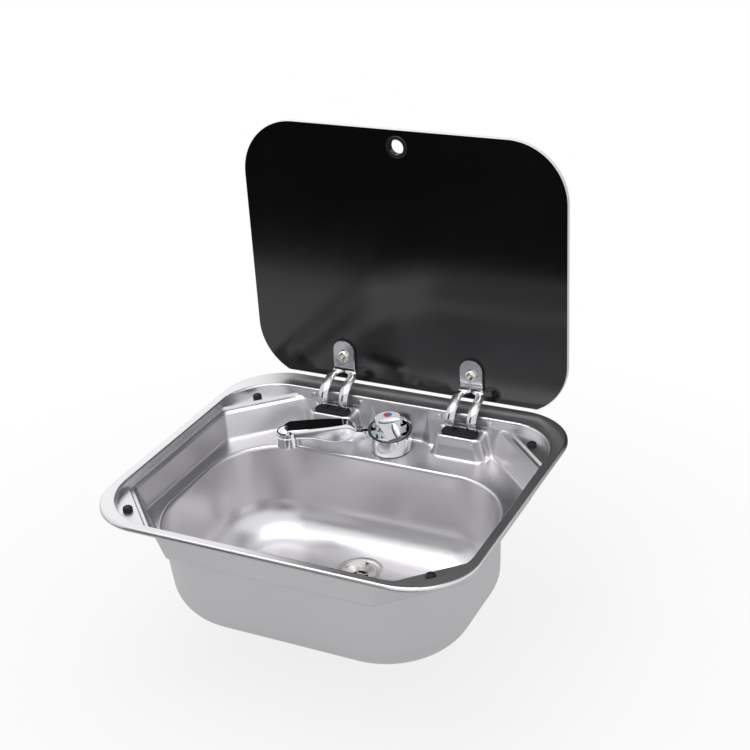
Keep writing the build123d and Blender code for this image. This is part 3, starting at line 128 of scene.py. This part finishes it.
# height of the crown in the middle of a strap
ARM_CROWN = 0.0016
# half widths: of the gap between the straps, of the arm, and of its tongue
ARM_INNER = 0.0078
ARM_OUTER = 0.0182
TONGUE_HALF = 0.0135
# length of sheet from the top down to the arch where the straps part, and the reach of the curve
# by which the sheet widens there
ARCH_FROM_TOP = 0.0400
SHOULDER = 0.0045
# points closer than this are one
WELD = 1e-6

# straight pieces that a smooth line has between two of its given points
LINE_PARTS = 40
LINE_TOLERANCE = 1e-9

# camera
SENSOR_WIDTH = 36.0

# lamp: place, point aimed at, width and length, watts
SOFTBOX = ((-0.2, -0.1, 1.5), (0, 0, 0), (1.2, 1.2), 8)

# light of the surroundings on matt surfaces, and as the camera and mirrors see it
WORLD_MATT = 0.65
WORLD_SEEN = 1.0

# floor: half its width, its matt colour, its glow seen directly and in mirrors, how far from the
# sink it starts and ends fading to that glow, and the shares of glow there
FLOOR_HALF = 6.0
FLOOR_COLOUR = (0.9, 0.9, 0.9, 1)
FLOOR_SEEN = 1.0
FLOOR_MIRRORED = 0.58
FADE_START, FADE_END = 0.35, 0.75
SHARE_NEAR, SHARE_FAR = 0.80, 1.0

# level sheets seen in mirrors: X from and to, Y from and to, height (None: the sink's lowest
# point), brightness
LEVEL_CARDS = {
    "table flag": ((-1.7, 0.9), (-2.4, -0.56), None, 0.01),
    "far table flag": ((-3.0, 3.0), (0.75, 3.0), None, 0.12),
    "ceiling flag": ((-1.0, 1.3), (0.5, 2.4), 1.6, 0.04),
}
# upright sheets seen in mirrors: the two ends, heights from (None as above) and to, brightness
UPRIGHT_CARDS = {
    "front flag": ((-2.3, -2.4), (-0.8, -2.4), (None, 2.4), 0.02),
    "back flag": ((-0.36, 0.5), (0.5, 0.5), (None, 0.36), 0.01),
    "back reflector": ((-2.1, 0.8), (-0.5, 1.5), (0.15, 1.3), 1.25),
}


# ---------------------------------------------------------------- shader helpers
def nodes_of(name):
    """New material with an empty node tree, and its tree."""
    material = bpy.data.materials.new(name)
    material.use_nodes = True
    material.node_tree.nodes.clear()
    return material, material.node_tree


def place(tree, kind, inputs=None, **settings):
    """Add a node, set its properties, and link or set its inputs."""
    node = tree.nodes.new(kind)
    for key, value in settings.items():
        setattr(node, key, value)
    for key, value in (inputs or {}).items():
        if hasattr(value, "is_output"):
            tree.links.new(value, node.inputs[key])
        else:
            node.inputs[key].default_value = value
    return node


def finish_with(tree, shader, kind="ShaderNodeOutputMaterial"):
    """Wire a shader to the output."""
    output = place(tree, kind)
    tree.links.new(shader, output.inputs["Surface"])


def object_place(tree, stretch=(1, 1, 1)):
    """Position on the piece, scaled along each axis."""
    coordinate = place(tree, "ShaderNodeTexCoord")
    mapping = place(
        tree,
        "ShaderNodeMapping",
        {"Vector": coordinate.outputs["Object"], "Scale": stretch},
        vector_type="POINT",
    )
    return mapping.outputs["Vector"]


def noise(tree, vector, scale, detail=2.0, roughness=0.5):
    """Noise value between 0 and 1."""
    node = place(
        tree,
        "ShaderNodeTexNoise",
        {"Vector": vector, "Scale": scale, "Detail": detail, "Roughness": roughness},
    )
    return node.outputs["Fac"]


def spread(tree, value, low, high, start=0.0, end=1.0):
    """Value from start..end mapped onto low..high."""
    node = place(
        tree,
        "ShaderNodeMapRange",
        {"Value": value, "From Min": start, "From Max": end, "To Min": low, "To Max": high},
    )
    return node.outputs["Result"]


def compute(tree, operation, *values):
    """Result of a calculation on values."""
    node = place(tree, "ShaderNodeMath", dict(enumerate(values)), operation=operation)
    return node.outputs["Value"]


def blend_colour(tree, share, first, second):
    """Mix of two colours."""
    inputs = {MIX_FACTOR: share, MIX_COLOURS[0]: first, MIX_COLOURS[1]: second}
    return place(tree, "ShaderNodeMix", inputs, data_type="RGBA").outputs[MIX_COLOUR_OUT]


def mix_shaders(tree, share, first, second):
    """Mix of the first outputs of two shaders."""
    inputs = {0: share, 1: first.outputs[0], 2: second.outputs[0]}
    return place(tree, "ShaderNodeMixShader", inputs)


def bump(tree, height, distance, strength=1.0):
    """Surface normal from a height."""
    node = place(
        tree,
        "ShaderNodeBump",
        {"Height": height, "Distance": distance, "Strength": strength},
    )
    return node.outputs["Normal"]


def surface(tree, **inputs):
    """Principled shader wired to the output."""
    named = {key.replace("_", " "): value for key, value in inputs.items()}
    shader = place(tree, "ShaderNodeBsdfPrincipled", named)
    finish_with(tree, shader.outputs["BSDF"])


def opaque(colour, share=1.0):
    """A share of a colour, with full alpha."""
    return (*(part * share for part in colour), 1.0)


def glow(tree, strength):
    """White light of its own."""
    return place(tree, "ShaderNodeEmission", {"Color": WHITE, "Strength": strength})


def seen_share(tree):
    """1 for rays from the camera and for mirrored or transmitted ones, 0 for the rest."""
    path = place(tree, "ShaderNodeLightPath").outputs
    seen = compute(tree, "MAXIMUM", path["Is Camera Ray"], path["Is Glossy Ray"])
    return compute(tree, "MAXIMUM", seen, path["Is Transmission Ray"])


# ---------------------------------------------------------------- finishes
def satin_sheet():
    """Pressed stainless sheet: satin, with a fine grain along X and faint clouds of wiping."""
    steel = bpy.context.scene.sink_steel
    material, tree = nodes_of("satin sheet")
    along_x = object_place(tree, (500, 2600, 2600))
    grain = noise(tree, along_x, scale=1.0, detail=3.0, roughness=0.6)
    clouds = noise(tree, object_place(tree), scale=9.0, detail=3.0, roughness=0.55)
    surface(
        tree,
        Base_Color=blend_colour(
            tree, clouds, opaque(steel.colour), opaque(steel.colour, STEEL_CLOUD)
        ),
        Metallic=1.0,
        Roughness=compute(
            tree,
            "ADD",
            spread(tree, clouds, -0.03, 0.03, start=0.3, end=0.7),
            spread(tree, grain, steel.roughness - 0.03, steel.roughness + 0.03),
        ),
        Normal=bump(tree, grain, distance=0.000004, strength=0.3),
    )
    return material


def bright_steel(name, colour, roughness):
    """Bright plated or polished steel with soft handling marks."""
    material, tree = nodes_of(name)
    marks = noise(tree, object_place(tree), scale=160.0, detail=4.0, roughness=0.6)
    lines = noise(tree, object_place(tree, (900, 900, 90)), scale=1.0, detail=2.0)
    surface(
        tree,
        Base_Color=blend_colour(tree, marks, opaque(colour), opaque(colour, HANDLING_MARK)),
        Metallic=1.0,
        Roughness=spread(tree, marks, roughness * 0.75, roughness * 1.3, start=0.3, end=0.7),
        Normal=bump(tree, lines, distance=0.00002, strength=0.2),
    )
    return material


def chrome():
    """Chrome plate over a cast body: almost a mirror, with faint ripples of the casting."""
    tap = bpy.context.scene.sink_tap
    material, tree = nodes_of("chrome plate")
    ripple = noise(tree, object_place(tree), scale=55.0, detail=2.0)
    dust = noise(tree, object_place(tree), scale=700.0, detail=3.0)
    surface(
        tree,
        Base_Color=opaque(tap.chrome),
        Metallic=1.0,
        Roughness=spread(tree, dust, tap.polish * 0.7, tap.polish * 1.6, start=0.35, end=0.75),
        Normal=bump(tree, ripple, distance=0.0002, strength=0.25),
    )
    return material


def black_glass():
    """Black tempered glass with a matt ground edge, whose light grey colour is a painted
    highlight.
    """
    lid = bpy.context.scene.sink_lid
    material, tree = nodes_of("black glass")
    own = place(tree, "ShaderNodeTexCoord")
    split = place(tree, "ShaderNodeSeparateXYZ", {"Vector": own.outputs["Normal"]})
    facing = compute(tree, "ABSOLUTE", split.outputs["Y"])
    edge = spread(tree, facing, 1.0, 0.0, start=GLASS_EDGE, end=GLASS_FACE)
    smear = noise(tree, object_place(tree), scale=14.0, detail=4.0, roughness=0.6)
    face_roughness = spread(tree, smear, *GLASS_ROUGHNESS, start=0.3, end=0.75)
    rough = place(
        tree,
        "ShaderNodeMix",
        {MIX_FACTOR: edge, MIX_VALUES[0]: face_roughness, MIX_VALUES[1]: EDGE_ROUGHNESS},
        data_type="FLOAT",
    )
    surface(
        tree,
        # edge faces get the light grey edge colour: a painted highlight along the lid's edge
        Base_Color=blend_colour(tree, edge, opaque(lid.colour), opaque(lid.edge)),
        Roughness=rough.outputs[0],
        IOR=GLASS_IOR,
    )
    return material


def moulded(name, colour, roughness):
    """Moulded rubber or plastic with a fine skin."""
    material, tree = nodes_of(name)
    skin = noise(tree, object_place(tree), scale=900.0, detail=3.0, roughness=0.6)
    patches = noise(tree, object_place(tree), scale=70.0, detail=3.0, roughness=0.55)
    worn = [min(1.0, part * WORN_SHARE + WORN_GREY) for part in colour]
    surface(
        tree,
        Base_Color=blend_colour(
            tree,
            spread(tree, patches, 0, 1, start=0.35, end=0.8),
            opaque(colour),
            opaque(worn),
        ),
        Roughness=spread(tree, skin, roughness - 0.06, roughness + 0.08, start=0.3, end=0.7),
        Specular_IOR_Level=0.35,
        Normal=bump(tree, skin, distance=0.00004, strength=0.5),
    )
    return material


def foam():
    """Closed-cell foam strip."""
    material, tree = nodes_of("foam")
    pores = place(
        tree, "ShaderNodeTexVoronoi", {"Vector": object_place(tree), "Scale": 1400.0}
    ).outputs["Distance"]
    surface(
        tree,
        Base_Color=blend_colour(tree, pores, (0.02, 0.02, 0.02, 1), (0.05, 0.05, 0.05, 1)),
        Roughness=0.9,
        Normal=bump(tree, pores, distance=0.0002, strength=0.6),
    )
    return material


def brass():
    """Turned brass, with rings from the tool."""
    material, tree = nodes_of("turned brass")
    rings = noise(tree, object_place(tree, (40, 40, 2200)), scale=1.0, detail=2.0)
    surface(
        tree,
        Base_Color=blend_colour(tree, rings, (0.60, 0.44, 0.20, 1), (0.48, 0.33, 0.13, 1)),
        Metallic=1.0,
        Roughness=spread(tree, rings, 0.22, 0.38),
        Normal=bump(tree, rings, distance=0.00004, strength=0.5),
    )
    return material


def copper():
    """Drawn copper tube, slightly dulled."""
    material, tree = nodes_of("drawn copper")
    tarnish = noise(tree, object_place(tree, (30, 30, 8)), scale=6.0, detail=4.0, roughness=0.6)
    surface(
        tree,
        Base_Color=blend_colour(
            tree,
            spread(tree, tarnish, 0, 1, start=0.3, end=0.75),
            (0.80, 0.40, 0.24, 1),
            (0.42, 0.20, 0.12, 1),
        ),
        Metallic=1.0,
        Roughness=spread(tree, tarnish, 0.2, 0.45, start=0.3, end=0.75),
        Normal=bump(tree, tarnish, distance=0.0001, strength=0.3),
    )
    return material


def inlay(name, colour):
    """Glossy coloured inlay."""
    material, tree = nodes_of(name)
    cloud = noise(tree, object_place(tree), scale=900.0, detail=2.0)
    surface(
        tree,
        Base_Color=blend_colour(tree, cloud, opaque(colour), opaque(colour, INLAY_DEPTH)),
        Roughness=0.18,
        Coat_Weight=0.6,
        Coat_Roughness=0.05,
    )
    return material


def pale_floor():
    """Pale floor that fades out to white around the shadow, greyer in mirror images."""
    material, tree = nodes_of("pale floor")
    path = place(tree, "ShaderNodeLightPath").outputs
    matt = place(tree, "ShaderNodeBsdfDiffuse", {"Color": FLOOR_COLOUR})
    bright = mix_shaders(
        tree, path["Is Glossy Ray"], glow(tree, FLOOR_SEEN), glow(tree, FLOOR_MIRRORED)
    )
    centre = place(tree, "ShaderNodeTexCoord").outputs["Object"]
    away = place(tree, "ShaderNodeVectorMath", {0: centre}, operation="LENGTH")
    fade = spread(tree, away.outputs["Value"], SHARE_NEAR, SHARE_FAR, FADE_START, FADE_END)
    share = compute(tree, "MULTIPLY", seen_share(tree), fade)
    finish_with(tree, mix_shaders(tree, share, matt, bright).outputs[0])
    return material


def wear(names, material):
    """Give CAD nodes a finish."""
    for name in names:
        node = NODES[name]
        node.data.materials.clear()
        node.data.materials.append(material)


# ---------------------------------------------------------------- meshes
def smooth_line(points, step):
    """Points a step apart along a smooth line through the given points."""
    knots = [Vector(point) for point in points]
    knots = [2 * knots[0] - knots[1], *knots, 2 * knots[-1] - knots[-2]]
    fine = []
    for before, start, end, after in zip(knots, knots[1:], knots[2:], knots[3:]):
        for index in range(LINE_PARTS):
            t = index / LINE_PARTS
            fine.append(
                0.5
                * (
                    2 * start
                    + (end - before) * t
                    + (2 * before - 5 * start + 4 * end - after) * t**2
                    + (3 * start - before - 3 * end + after) * t**3
                )
            )
    fine.append(knots[-2])
    runs = [(b - a).length for a, b in zip(fine, fine[1:])]
    count = max(2, round(sum(runs) / step))
    goal = sum(runs) / count
    line = [fine[0]]
    passed = 0.0
    for start, end, run in zip(fine, fine[1:], runs):
        while passed + run >= goal * len(line) - LINE_TOLERANCE and len(line) < count:
            line.append(start.lerp(end, (goal * len(line) - passed) / run))
        passed += run
    line.append(fine[-1])
    return line


def ease(value, start, end):
    """0 before start, 1 after end, smooth between."""
    t = min(1.0, max(0.0, (value - start) / (end - start)))
    return t * t * (3 - 2 * t)


def piece_from(name, mesh_data, body, material, *replaced):
    """Object from a bmesh, riding on a body, with its finish."""
    mesh = bpy.data.meshes.new(name)
    mesh_data.to_mesh(mesh)
    mesh_data.free()
    mesh.shade_smooth()
    mesh.materials.append(material)
    piece = bpy.data.objects.new(name, mesh)
    bpy.context.scene.collection.objects.link(piece)
    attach(piece, body)
    if replaced:
        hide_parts(*replaced)
    return piece


def strap_widths(passed, total):
    """Half width of the gap and of the arm at a distance from the eye along the sheet."""
    arch = total - ARCH_FROM_TOP
    outer = ARM_OUTER + (TONGUE_HALF - ARM_OUTER) * ease(
        passed, arch - 2 * SHOULDER, arch + SHOULDER
    )
    above = passed - (total - TONGUE_HALF)
    if above > 0:
        outer = max(TONGUE_HALF**2 - above**2, 0.0) ** 0.5
    drop = min(max(arch - passed, 0.0), ARM_INNER)
    inner = (ARM_INNER**2 - (ARM_INNER - drop) ** 2) ** 0.5
    return inner, outer


def hinge_arm_mesh(centre):
    """Hinge arm as one bent sheet: a tongue with a round top, an arch and two crowned straps."""
    eye = [
        (PIVOT[0] + EYE * cos(radians(angle)), PIVOT[1] + EYE * sin(radians(angle)))
        for angle in EYE_ANGLES
    ]
    line = smooth_line(eye + list(ARM_LINE), ARM_STEP)
    total = sum((b - a).length for a, b in zip(line, line[1:]))
    arch = total - ARCH_FROM_TOP
    mesh = bmesh.new()
    rows = []
    passed = 0.0
    for index, point in enumerate(line):
        if index:
            passed += (point - line[index - 1]).length
        ahead = line[min(index + 1, len(line) - 1)] - line[max(index - 1, 0)]
        ahead.normalize()
        outward = Vector((-ahead.y, ahead.x))
        inner, outer = strap_widths(passed, total)
        crown = ARM_CROWN * (1 - ease(passed, arch - SHOULDER, arch + SHOULDER))
        for sign in (-1, 1):
            row = []
            for column in range(ARM_COLUMNS + 1):
                share = column / ARM_COLUMNS
                lift = crown * (1 - (2 * share - 1) ** 2)
                raised = point + outward * lift
                across = centre + sign * (inner + (outer - inner) * share)
                row.append(mesh.verts.new((across, raised.x, raised.y)))
            rows.append(row)
    for index in range(0, len(rows) - 2, 2):
        for half in (0, 1):
            low, high = rows[index + half], rows[index + half + 2]
            for a, b, c, d in zip(low, low[1:], high[1:], high):
                mesh.faces.new((a, b, c, d) if half else (d, c, b, a))
    bmesh.ops.remove_doubles(mesh, verts=mesh.verts, dist=WELD)
    bmesh.ops.dissolve_degenerate(mesh, dist=WELD, edges=mesh.edges)
    return mesh


def thicken(piece, thickness, rounding):
    """Give a sheet its thickness and rounded edges."""
    solid = piece.modifiers.new("thickness", "SOLIDIFY")
    solid.thickness = thickness
    solid.offset = 0.0
    edge = piece.modifiers.new("rounded edge", "BEVEL")
    edge.width = rounding
    edge.segments = ARM_EDGE_STEPS
    edge.limit_method = "ANGLE"
    edge.angle_limit = ARM_EDGE_ANGLE


# ---------------------------------------------------------------- settings
def colour_setting(name, description, default):
    """Colour property."""
    return FloatVectorProperty(
        name=name,
        description=description,
        default=default,
        size=3,
        min=0.0,
        max=1.0,
        subtype="COLOR",
    )


def blur_setting(name, description, default, low, high):
    """Roughness property."""
    return FloatProperty(
        name=name, description=description, default=default, min=low, max=high, subtype="FACTOR"
    )


def angle_setting(name, description, degrees):
    """Angle property."""
    return FloatProperty(
        name=name, description=description, default=radians(degrees), subtype="ANGLE"
    )


def length_setting(name, description, default, **limits):
    """Length property."""
    return FloatProperty(
        name=name, description=description, default=default, unit="LENGTH", **limits
    )


class SteelSettings(bpy.types.PropertyGroup):
    roughness: blur_setting(
        "Satin roughness", "How far the pressed sheet blurs what it reflects", 0.31, 0.05, 0.8
    )
    colour: colour_setting(
        "Steel colour", "Reflected colour of the stainless sheet", (0.76, 0.75, 0.77)
    )


class LidSettings(bpy.types.PropertyGroup):
    colour: colour_setting(
        "Glass colour", "Body colour of the black glass", (0.003, 0.003, 0.0035)
    )
    # light grey colour of the edge faces: a painted highlight along the lid's edge, on top of its
    # matt grind
    edge: colour_setting(
        "Ground edge", "Colour of the ground edge of the glass", (0.80, 0.82, 0.82)
    )


class TapSettings(bpy.types.PropertyGroup):
    chrome: colour_setting(
        "Chrome colour", "Reflected colour of the plating", (0.80, 0.81, 0.83)
    )
    polish: blur_setting("Chrome roughness", "Blur of the plated surfaces", 0.035, 0.0, 0.5)
    hot: colour_setting("Hot mark", "Colour of the hot half of the mark", (0.72, 0.02, 0.03))
    cold: colour_setting("Cold mark", "Colour of the cold half of the mark", (0.01, 0.22, 0.62))


class StageSettings(bpy.types.PropertyGroup):
    azimuth: angle_setting(
        "Camera azimuth", "Angle of the camera to the right of the sink's front", 27.26
    )
    elevation: angle_setting(
        "Camera elevation", "Angle of the camera above the worktop", 26.05
    )
    roll: angle_setting("Camera roll", "Turn of the picture about the line of sight", -3.49)
    distance: length_setting(
        "Camera distance",
        "Distance from the camera to the point it looks at",
        1.50133,
        min=0.1,
    )
    aside: length_setting(
        "Target aside",
        "How far the point looked at lies along the picture's level direction",
        0.04404,
    )
    height: length_setting(
        "Target height", "Height of the point looked at above the worktop", 0.10852
    )
    lens: FloatProperty(
        name="Lens",
        description="Focal length for a 36 mm wide sensor, in millimetres",
        default=70.17,
        min=1.0,
    )
    floor_drop: length_setting(
        "Floor gap", "Gap between the lowest point of the sink and the floor", 0.001, min=0.0
    )


SETTINGS = {
    "sink_steel": SteelSettings,
    "sink_lid": LidSettings,
    "sink_tap": TapSettings,
    "sink_stage": StageSettings,
}


# ---------------------------------------------------------------- pieces
class SINK_OT_sheet(bpy.types.Operator):
    """Finish the pressed sheet, its seal and every rubber piece"""

    bl_idname = "sink.sheet"
    bl_label = "Pressed sheet"

    def execute(self, context):
        wear(["sink_bowl"], satin_sheet())
        wear(["rim_seal"], foam())
        rubber = moulded("black rubber", (0.008, 0.008, 0.009), 0.55)
        wear(["lid_bumpers", "drain_gasket", "tap_gasket"], rubber)
        for kind in ("slot_rubber", "arm_shoe", "hinge_gasket"):
            wear([f"{kind}_{side}" for side in SIDES], rubber)
        return {"FINISHED"}


class SINK_OT_lid(bpy.types.Operator):
    """Finish the glass lid, its finger ring, its caps and its screws"""

    bl_idname = "sink.lid"
    bl_label = "Glass lid"

    def execute(self, context):
        wear(["lid_glass"], black_glass())
        wear(["finger_grommet"], moulded("black ring", (0.016, 0.016, 0.018), 0.22))
        wear(["lid_caps"], moulded("black cap", (0.015, 0.015, 0.016), 0.4))
        wear(["lid_screws"], bright_steel("bright screw", (0.78, 0.76, 0.72), 0.07))
        return {"FINISHED"}


class SINK_OT_hinges(bpy.types.Operator):
    """Make the curved hinge arms, and finish the brackets, pins and rivets"""

    bl_idname = "sink.hinges"
    bl_label = "Hinges"

    def execute(self, context):
        arm = bright_steel("plated arm", (0.66, 0.67, 0.69), 0.11)
        for sign, side in zip((-1, 1), SIDES):
            mesh = hinge_arm_mesh(sign * HINGE_X)
            piece = piece_from(f"plated_arm_{side}", mesh, "lid", arm, f"hinge_arm_{side}")
            thicken(piece, ARM_SHEET, ARM_EDGE)
        zinc = bright_steel("zinc plate", (0.55, 0.56, 0.58), 0.34)
        wear([f"hinge_bracket_{side}" for side in SIDES], zinc)
        wear([f"hinge_pin_{side}" for side in SIDES] + ["hinge_washers", "tap_washer"], zinc)
        wear(["hinge_spacers"], moulded("grey spacer", (0.25, 0.25, 0.26), 0.5))
        wear(["bracket_rivets"], bright_steel("rivet steel", (0.75, 0.75, 0.75), 0.14))
        return {"FINISHED"}


class SINK_OT_drain(bpy.types.Operator):
    """Finish the drain"""

    bl_idname = "sink.drain"
    bl_label = "Drain"

    def execute(self, context):
        polished = bright_steel("polished drain", (0.72, 0.71, 0.68), 0.14)
        wear(["drain_flange", "drain_screw"], polished)
        wear(["drain_tail"], moulded("grey tail", (0.22, 0.22, 0.23), 0.5))
        return {"FINISHED"}


class SINK_OT_tap(bpy.types.Operator):
    """Finish the tap"""

    bl_idname = "sink.tap"
    bl_label = "Tap"

    def execute(self, context):
        tap = context.scene.sink_tap
        plate = chrome()
        wear(["tap_base", "tap_body", "tap_handle"], plate)
        wear(["spout_pin", "tap_spout", "spout_aerator"], plate)
        wear(["tap_nut", "tap_cartridge", "tap_spindle"], brass())
        wear(["inlet_tail_hot", "inlet_tail_cold"], copper())
        wear(["mark_hot"], inlay("hot mark", tap.hot))
        wear(["mark_cold"], inlay("cold mark", tap.cold))
        return {"FINISHED"}


# ---------------------------------------------------------------- stage
def look_out(settings):
    """Matrix of the camera."""
    level = Vector((cos(settings.azimuth), sin(settings.azimuth), 0))
    back = Vector(
        (
            sin(settings.azimuth) * cos(settings.elevation),
            -cos(settings.azimuth) * cos(settings.elevation),
            sin(settings.elevation),
        )
    )
    right = (-back).cross(Vector((0, 0, 1))).normalized()
    up = right.cross(-back)
    turned_right = cos(settings.roll) * right + sin(settings.roll) * up
    turned_up = -sin(settings.roll) * right + cos(settings.roll) * up
    target = settings.aside * level + Vector((0, 0, settings.height))
    matrix = Matrix((turned_right, turned_up, back)).transposed().to_4x4()
    matrix.translation = target + back * settings.distance
    return matrix


def lamp(name, location, aim, size, power):
    """Rectangular area lamp that looks at a point."""
    data = bpy.data.lights.new(name, "AREA")
    data.shape = "RECTANGLE"
    data.size, data.size_y = size
    data.energy = power
    obj = bpy.data.objects.new(name, data)
    obj.location = location
    obj.rotation_euler = (Vector(aim) - Vector(location)).to_track_quat("-Z", "Y").to_euler()
    bpy.context.scene.collection.objects.link(obj)


def stage_sheet(name, corners, material):
    """Flat sheet that belongs to the stage."""
    mesh = bpy.data.meshes.new(name)
    mesh.from_pydata(corners, [], [(0, 1, 2, 3)])
    mesh.materials.append(material)
    sheet = bpy.data.objects.new(name, mesh)
    bpy.context.scene.collection.objects.link(sheet)
    return sheet


def card(name, corners, strength):
    """Sheet seen only in mirror images: a studio flag where dark, a reflector where bright."""
    material, tree = nodes_of(name)
    finish_with(tree, glow(tree, strength).outputs[0])
    sheet = stage_sheet(name, corners, material)
    for ray in ("camera", "diffuse", "shadow", "volume_scatter"):
        setattr(sheet, f"visible_{ray}", False)


class SINK_OT_stage(bpy.types.Operator):
    """Make the floor, the lamp, the cards, the background and the camera"""

    bl_idname = "sink.stage"
    bl_label = "Stage"

    def execute(self, context):
        settings = context.scene.sink_stage
        self.camera(context, settings)
        self.floor(settings)
        self.background(context)
        lamp("top softbox", *SOFTBOX)
        self.cards()
        return {"FINISHED"}

    def camera(self, context, settings):
        data = bpy.data.cameras.new("camera")
        data.lens = settings.lens
        data.sensor_width = SENSOR_WIDTH
        data.dof.use_dof = False
        camera = bpy.data.objects.new("camera", data)
        camera.matrix_world = look_out(settings)
        context.scene.collection.objects.link(camera)
        context.scene.camera = camera

    def floor(self, settings):
        z = CAD_BOX[0][2] - settings.floor_drop
        signs = ((-1, -1), (1, -1), (1, 1), (-1, 1))
        corners = [(x * FLOOR_HALF, y * FLOOR_HALF, z) for x, y in signs]
        stage_sheet("floor", corners, pale_floor())

    def background(self, context):
        world = bpy.data.worlds.new("studio")
        context.scene.world = world
        world.use_nodes = True
        tree = world.node_tree
        tree.nodes.clear()
        light, white = (
            place(tree, "ShaderNodeBackground", {"Color": WHITE, "Strength": strength})
            for strength in (WORLD_MATT, WORLD_SEEN)
        )
        mixed = mix_shaders(tree, seen_share(tree), light, white)
        finish_with(tree, mixed.outputs[0], "ShaderNodeOutputWorld")
        context.scene.view_settings.view_transform = "Standard"

    def cards(self):
        low = CAD_BOX[0][2]
        for name, (across, along, height, strength) in LEVEL_CARDS.items():
            z = low if height is None else height
            ring = (
                (across[0], along[0]),
                (across[1], along[0]),
                (across[1], along[1]),
                (across[0], along[1]),
            )
            card(name, [(x, y, z) for x, y in ring], strength)
        for name, (start, end, (foot, top), strength) in UPRIGHT_CARDS.items():
            foot = low if foot is None else foot
            card(name, [(*start, foot), (*end, foot), (*end, top), (*start, top)], strength)


# ---------------------------------------------------------------- panel and registration
STEPS = (SINK_OT_sheet, SINK_OT_lid, SINK_OT_hinges, SINK_OT_drain, SINK_OT_tap, SINK_OT_stage)


class SINK_PT_looks(bpy.types.Panel):
    """Settings and steps of the sink's looks"""

    bl_idname = "SINK_PT_looks"
    bl_label = "Sink"
    bl_space_type = "VIEW_3D"
    bl_region_type = "UI"
    bl_category = "Sink"

    def draw(self, context):
        for name, group in SETTINGS.items():
            box = self.layout.box()
            for prop in group.__annotations__:
                box.prop(getattr(context.scene, name), prop)
        for step in STEPS:
            self.layout.operator(step.bl_idname)


CLASSES = (*SETTINGS.values(), *STEPS, SINK_PT_looks)


def register():
    for cls in CLASSES:
        bpy.utils.register_class(cls)
    for name, group in SETTINGS.items():
        setattr(bpy.types.Scene, name, PointerProperty(type=group))


def unregister():
    for name in SETTINGS:
        delattr(bpy.types.Scene, name)
    for cls in reversed(CLASSES):
        bpy.utils.unregister_class(cls)


def main():
    register()
    for step in STEPS:
        group, operator = step.bl_idname.split(".")
        getattr(getattr(bpy.ops, group), operator)()


if __name__ == "__main__":
    main()
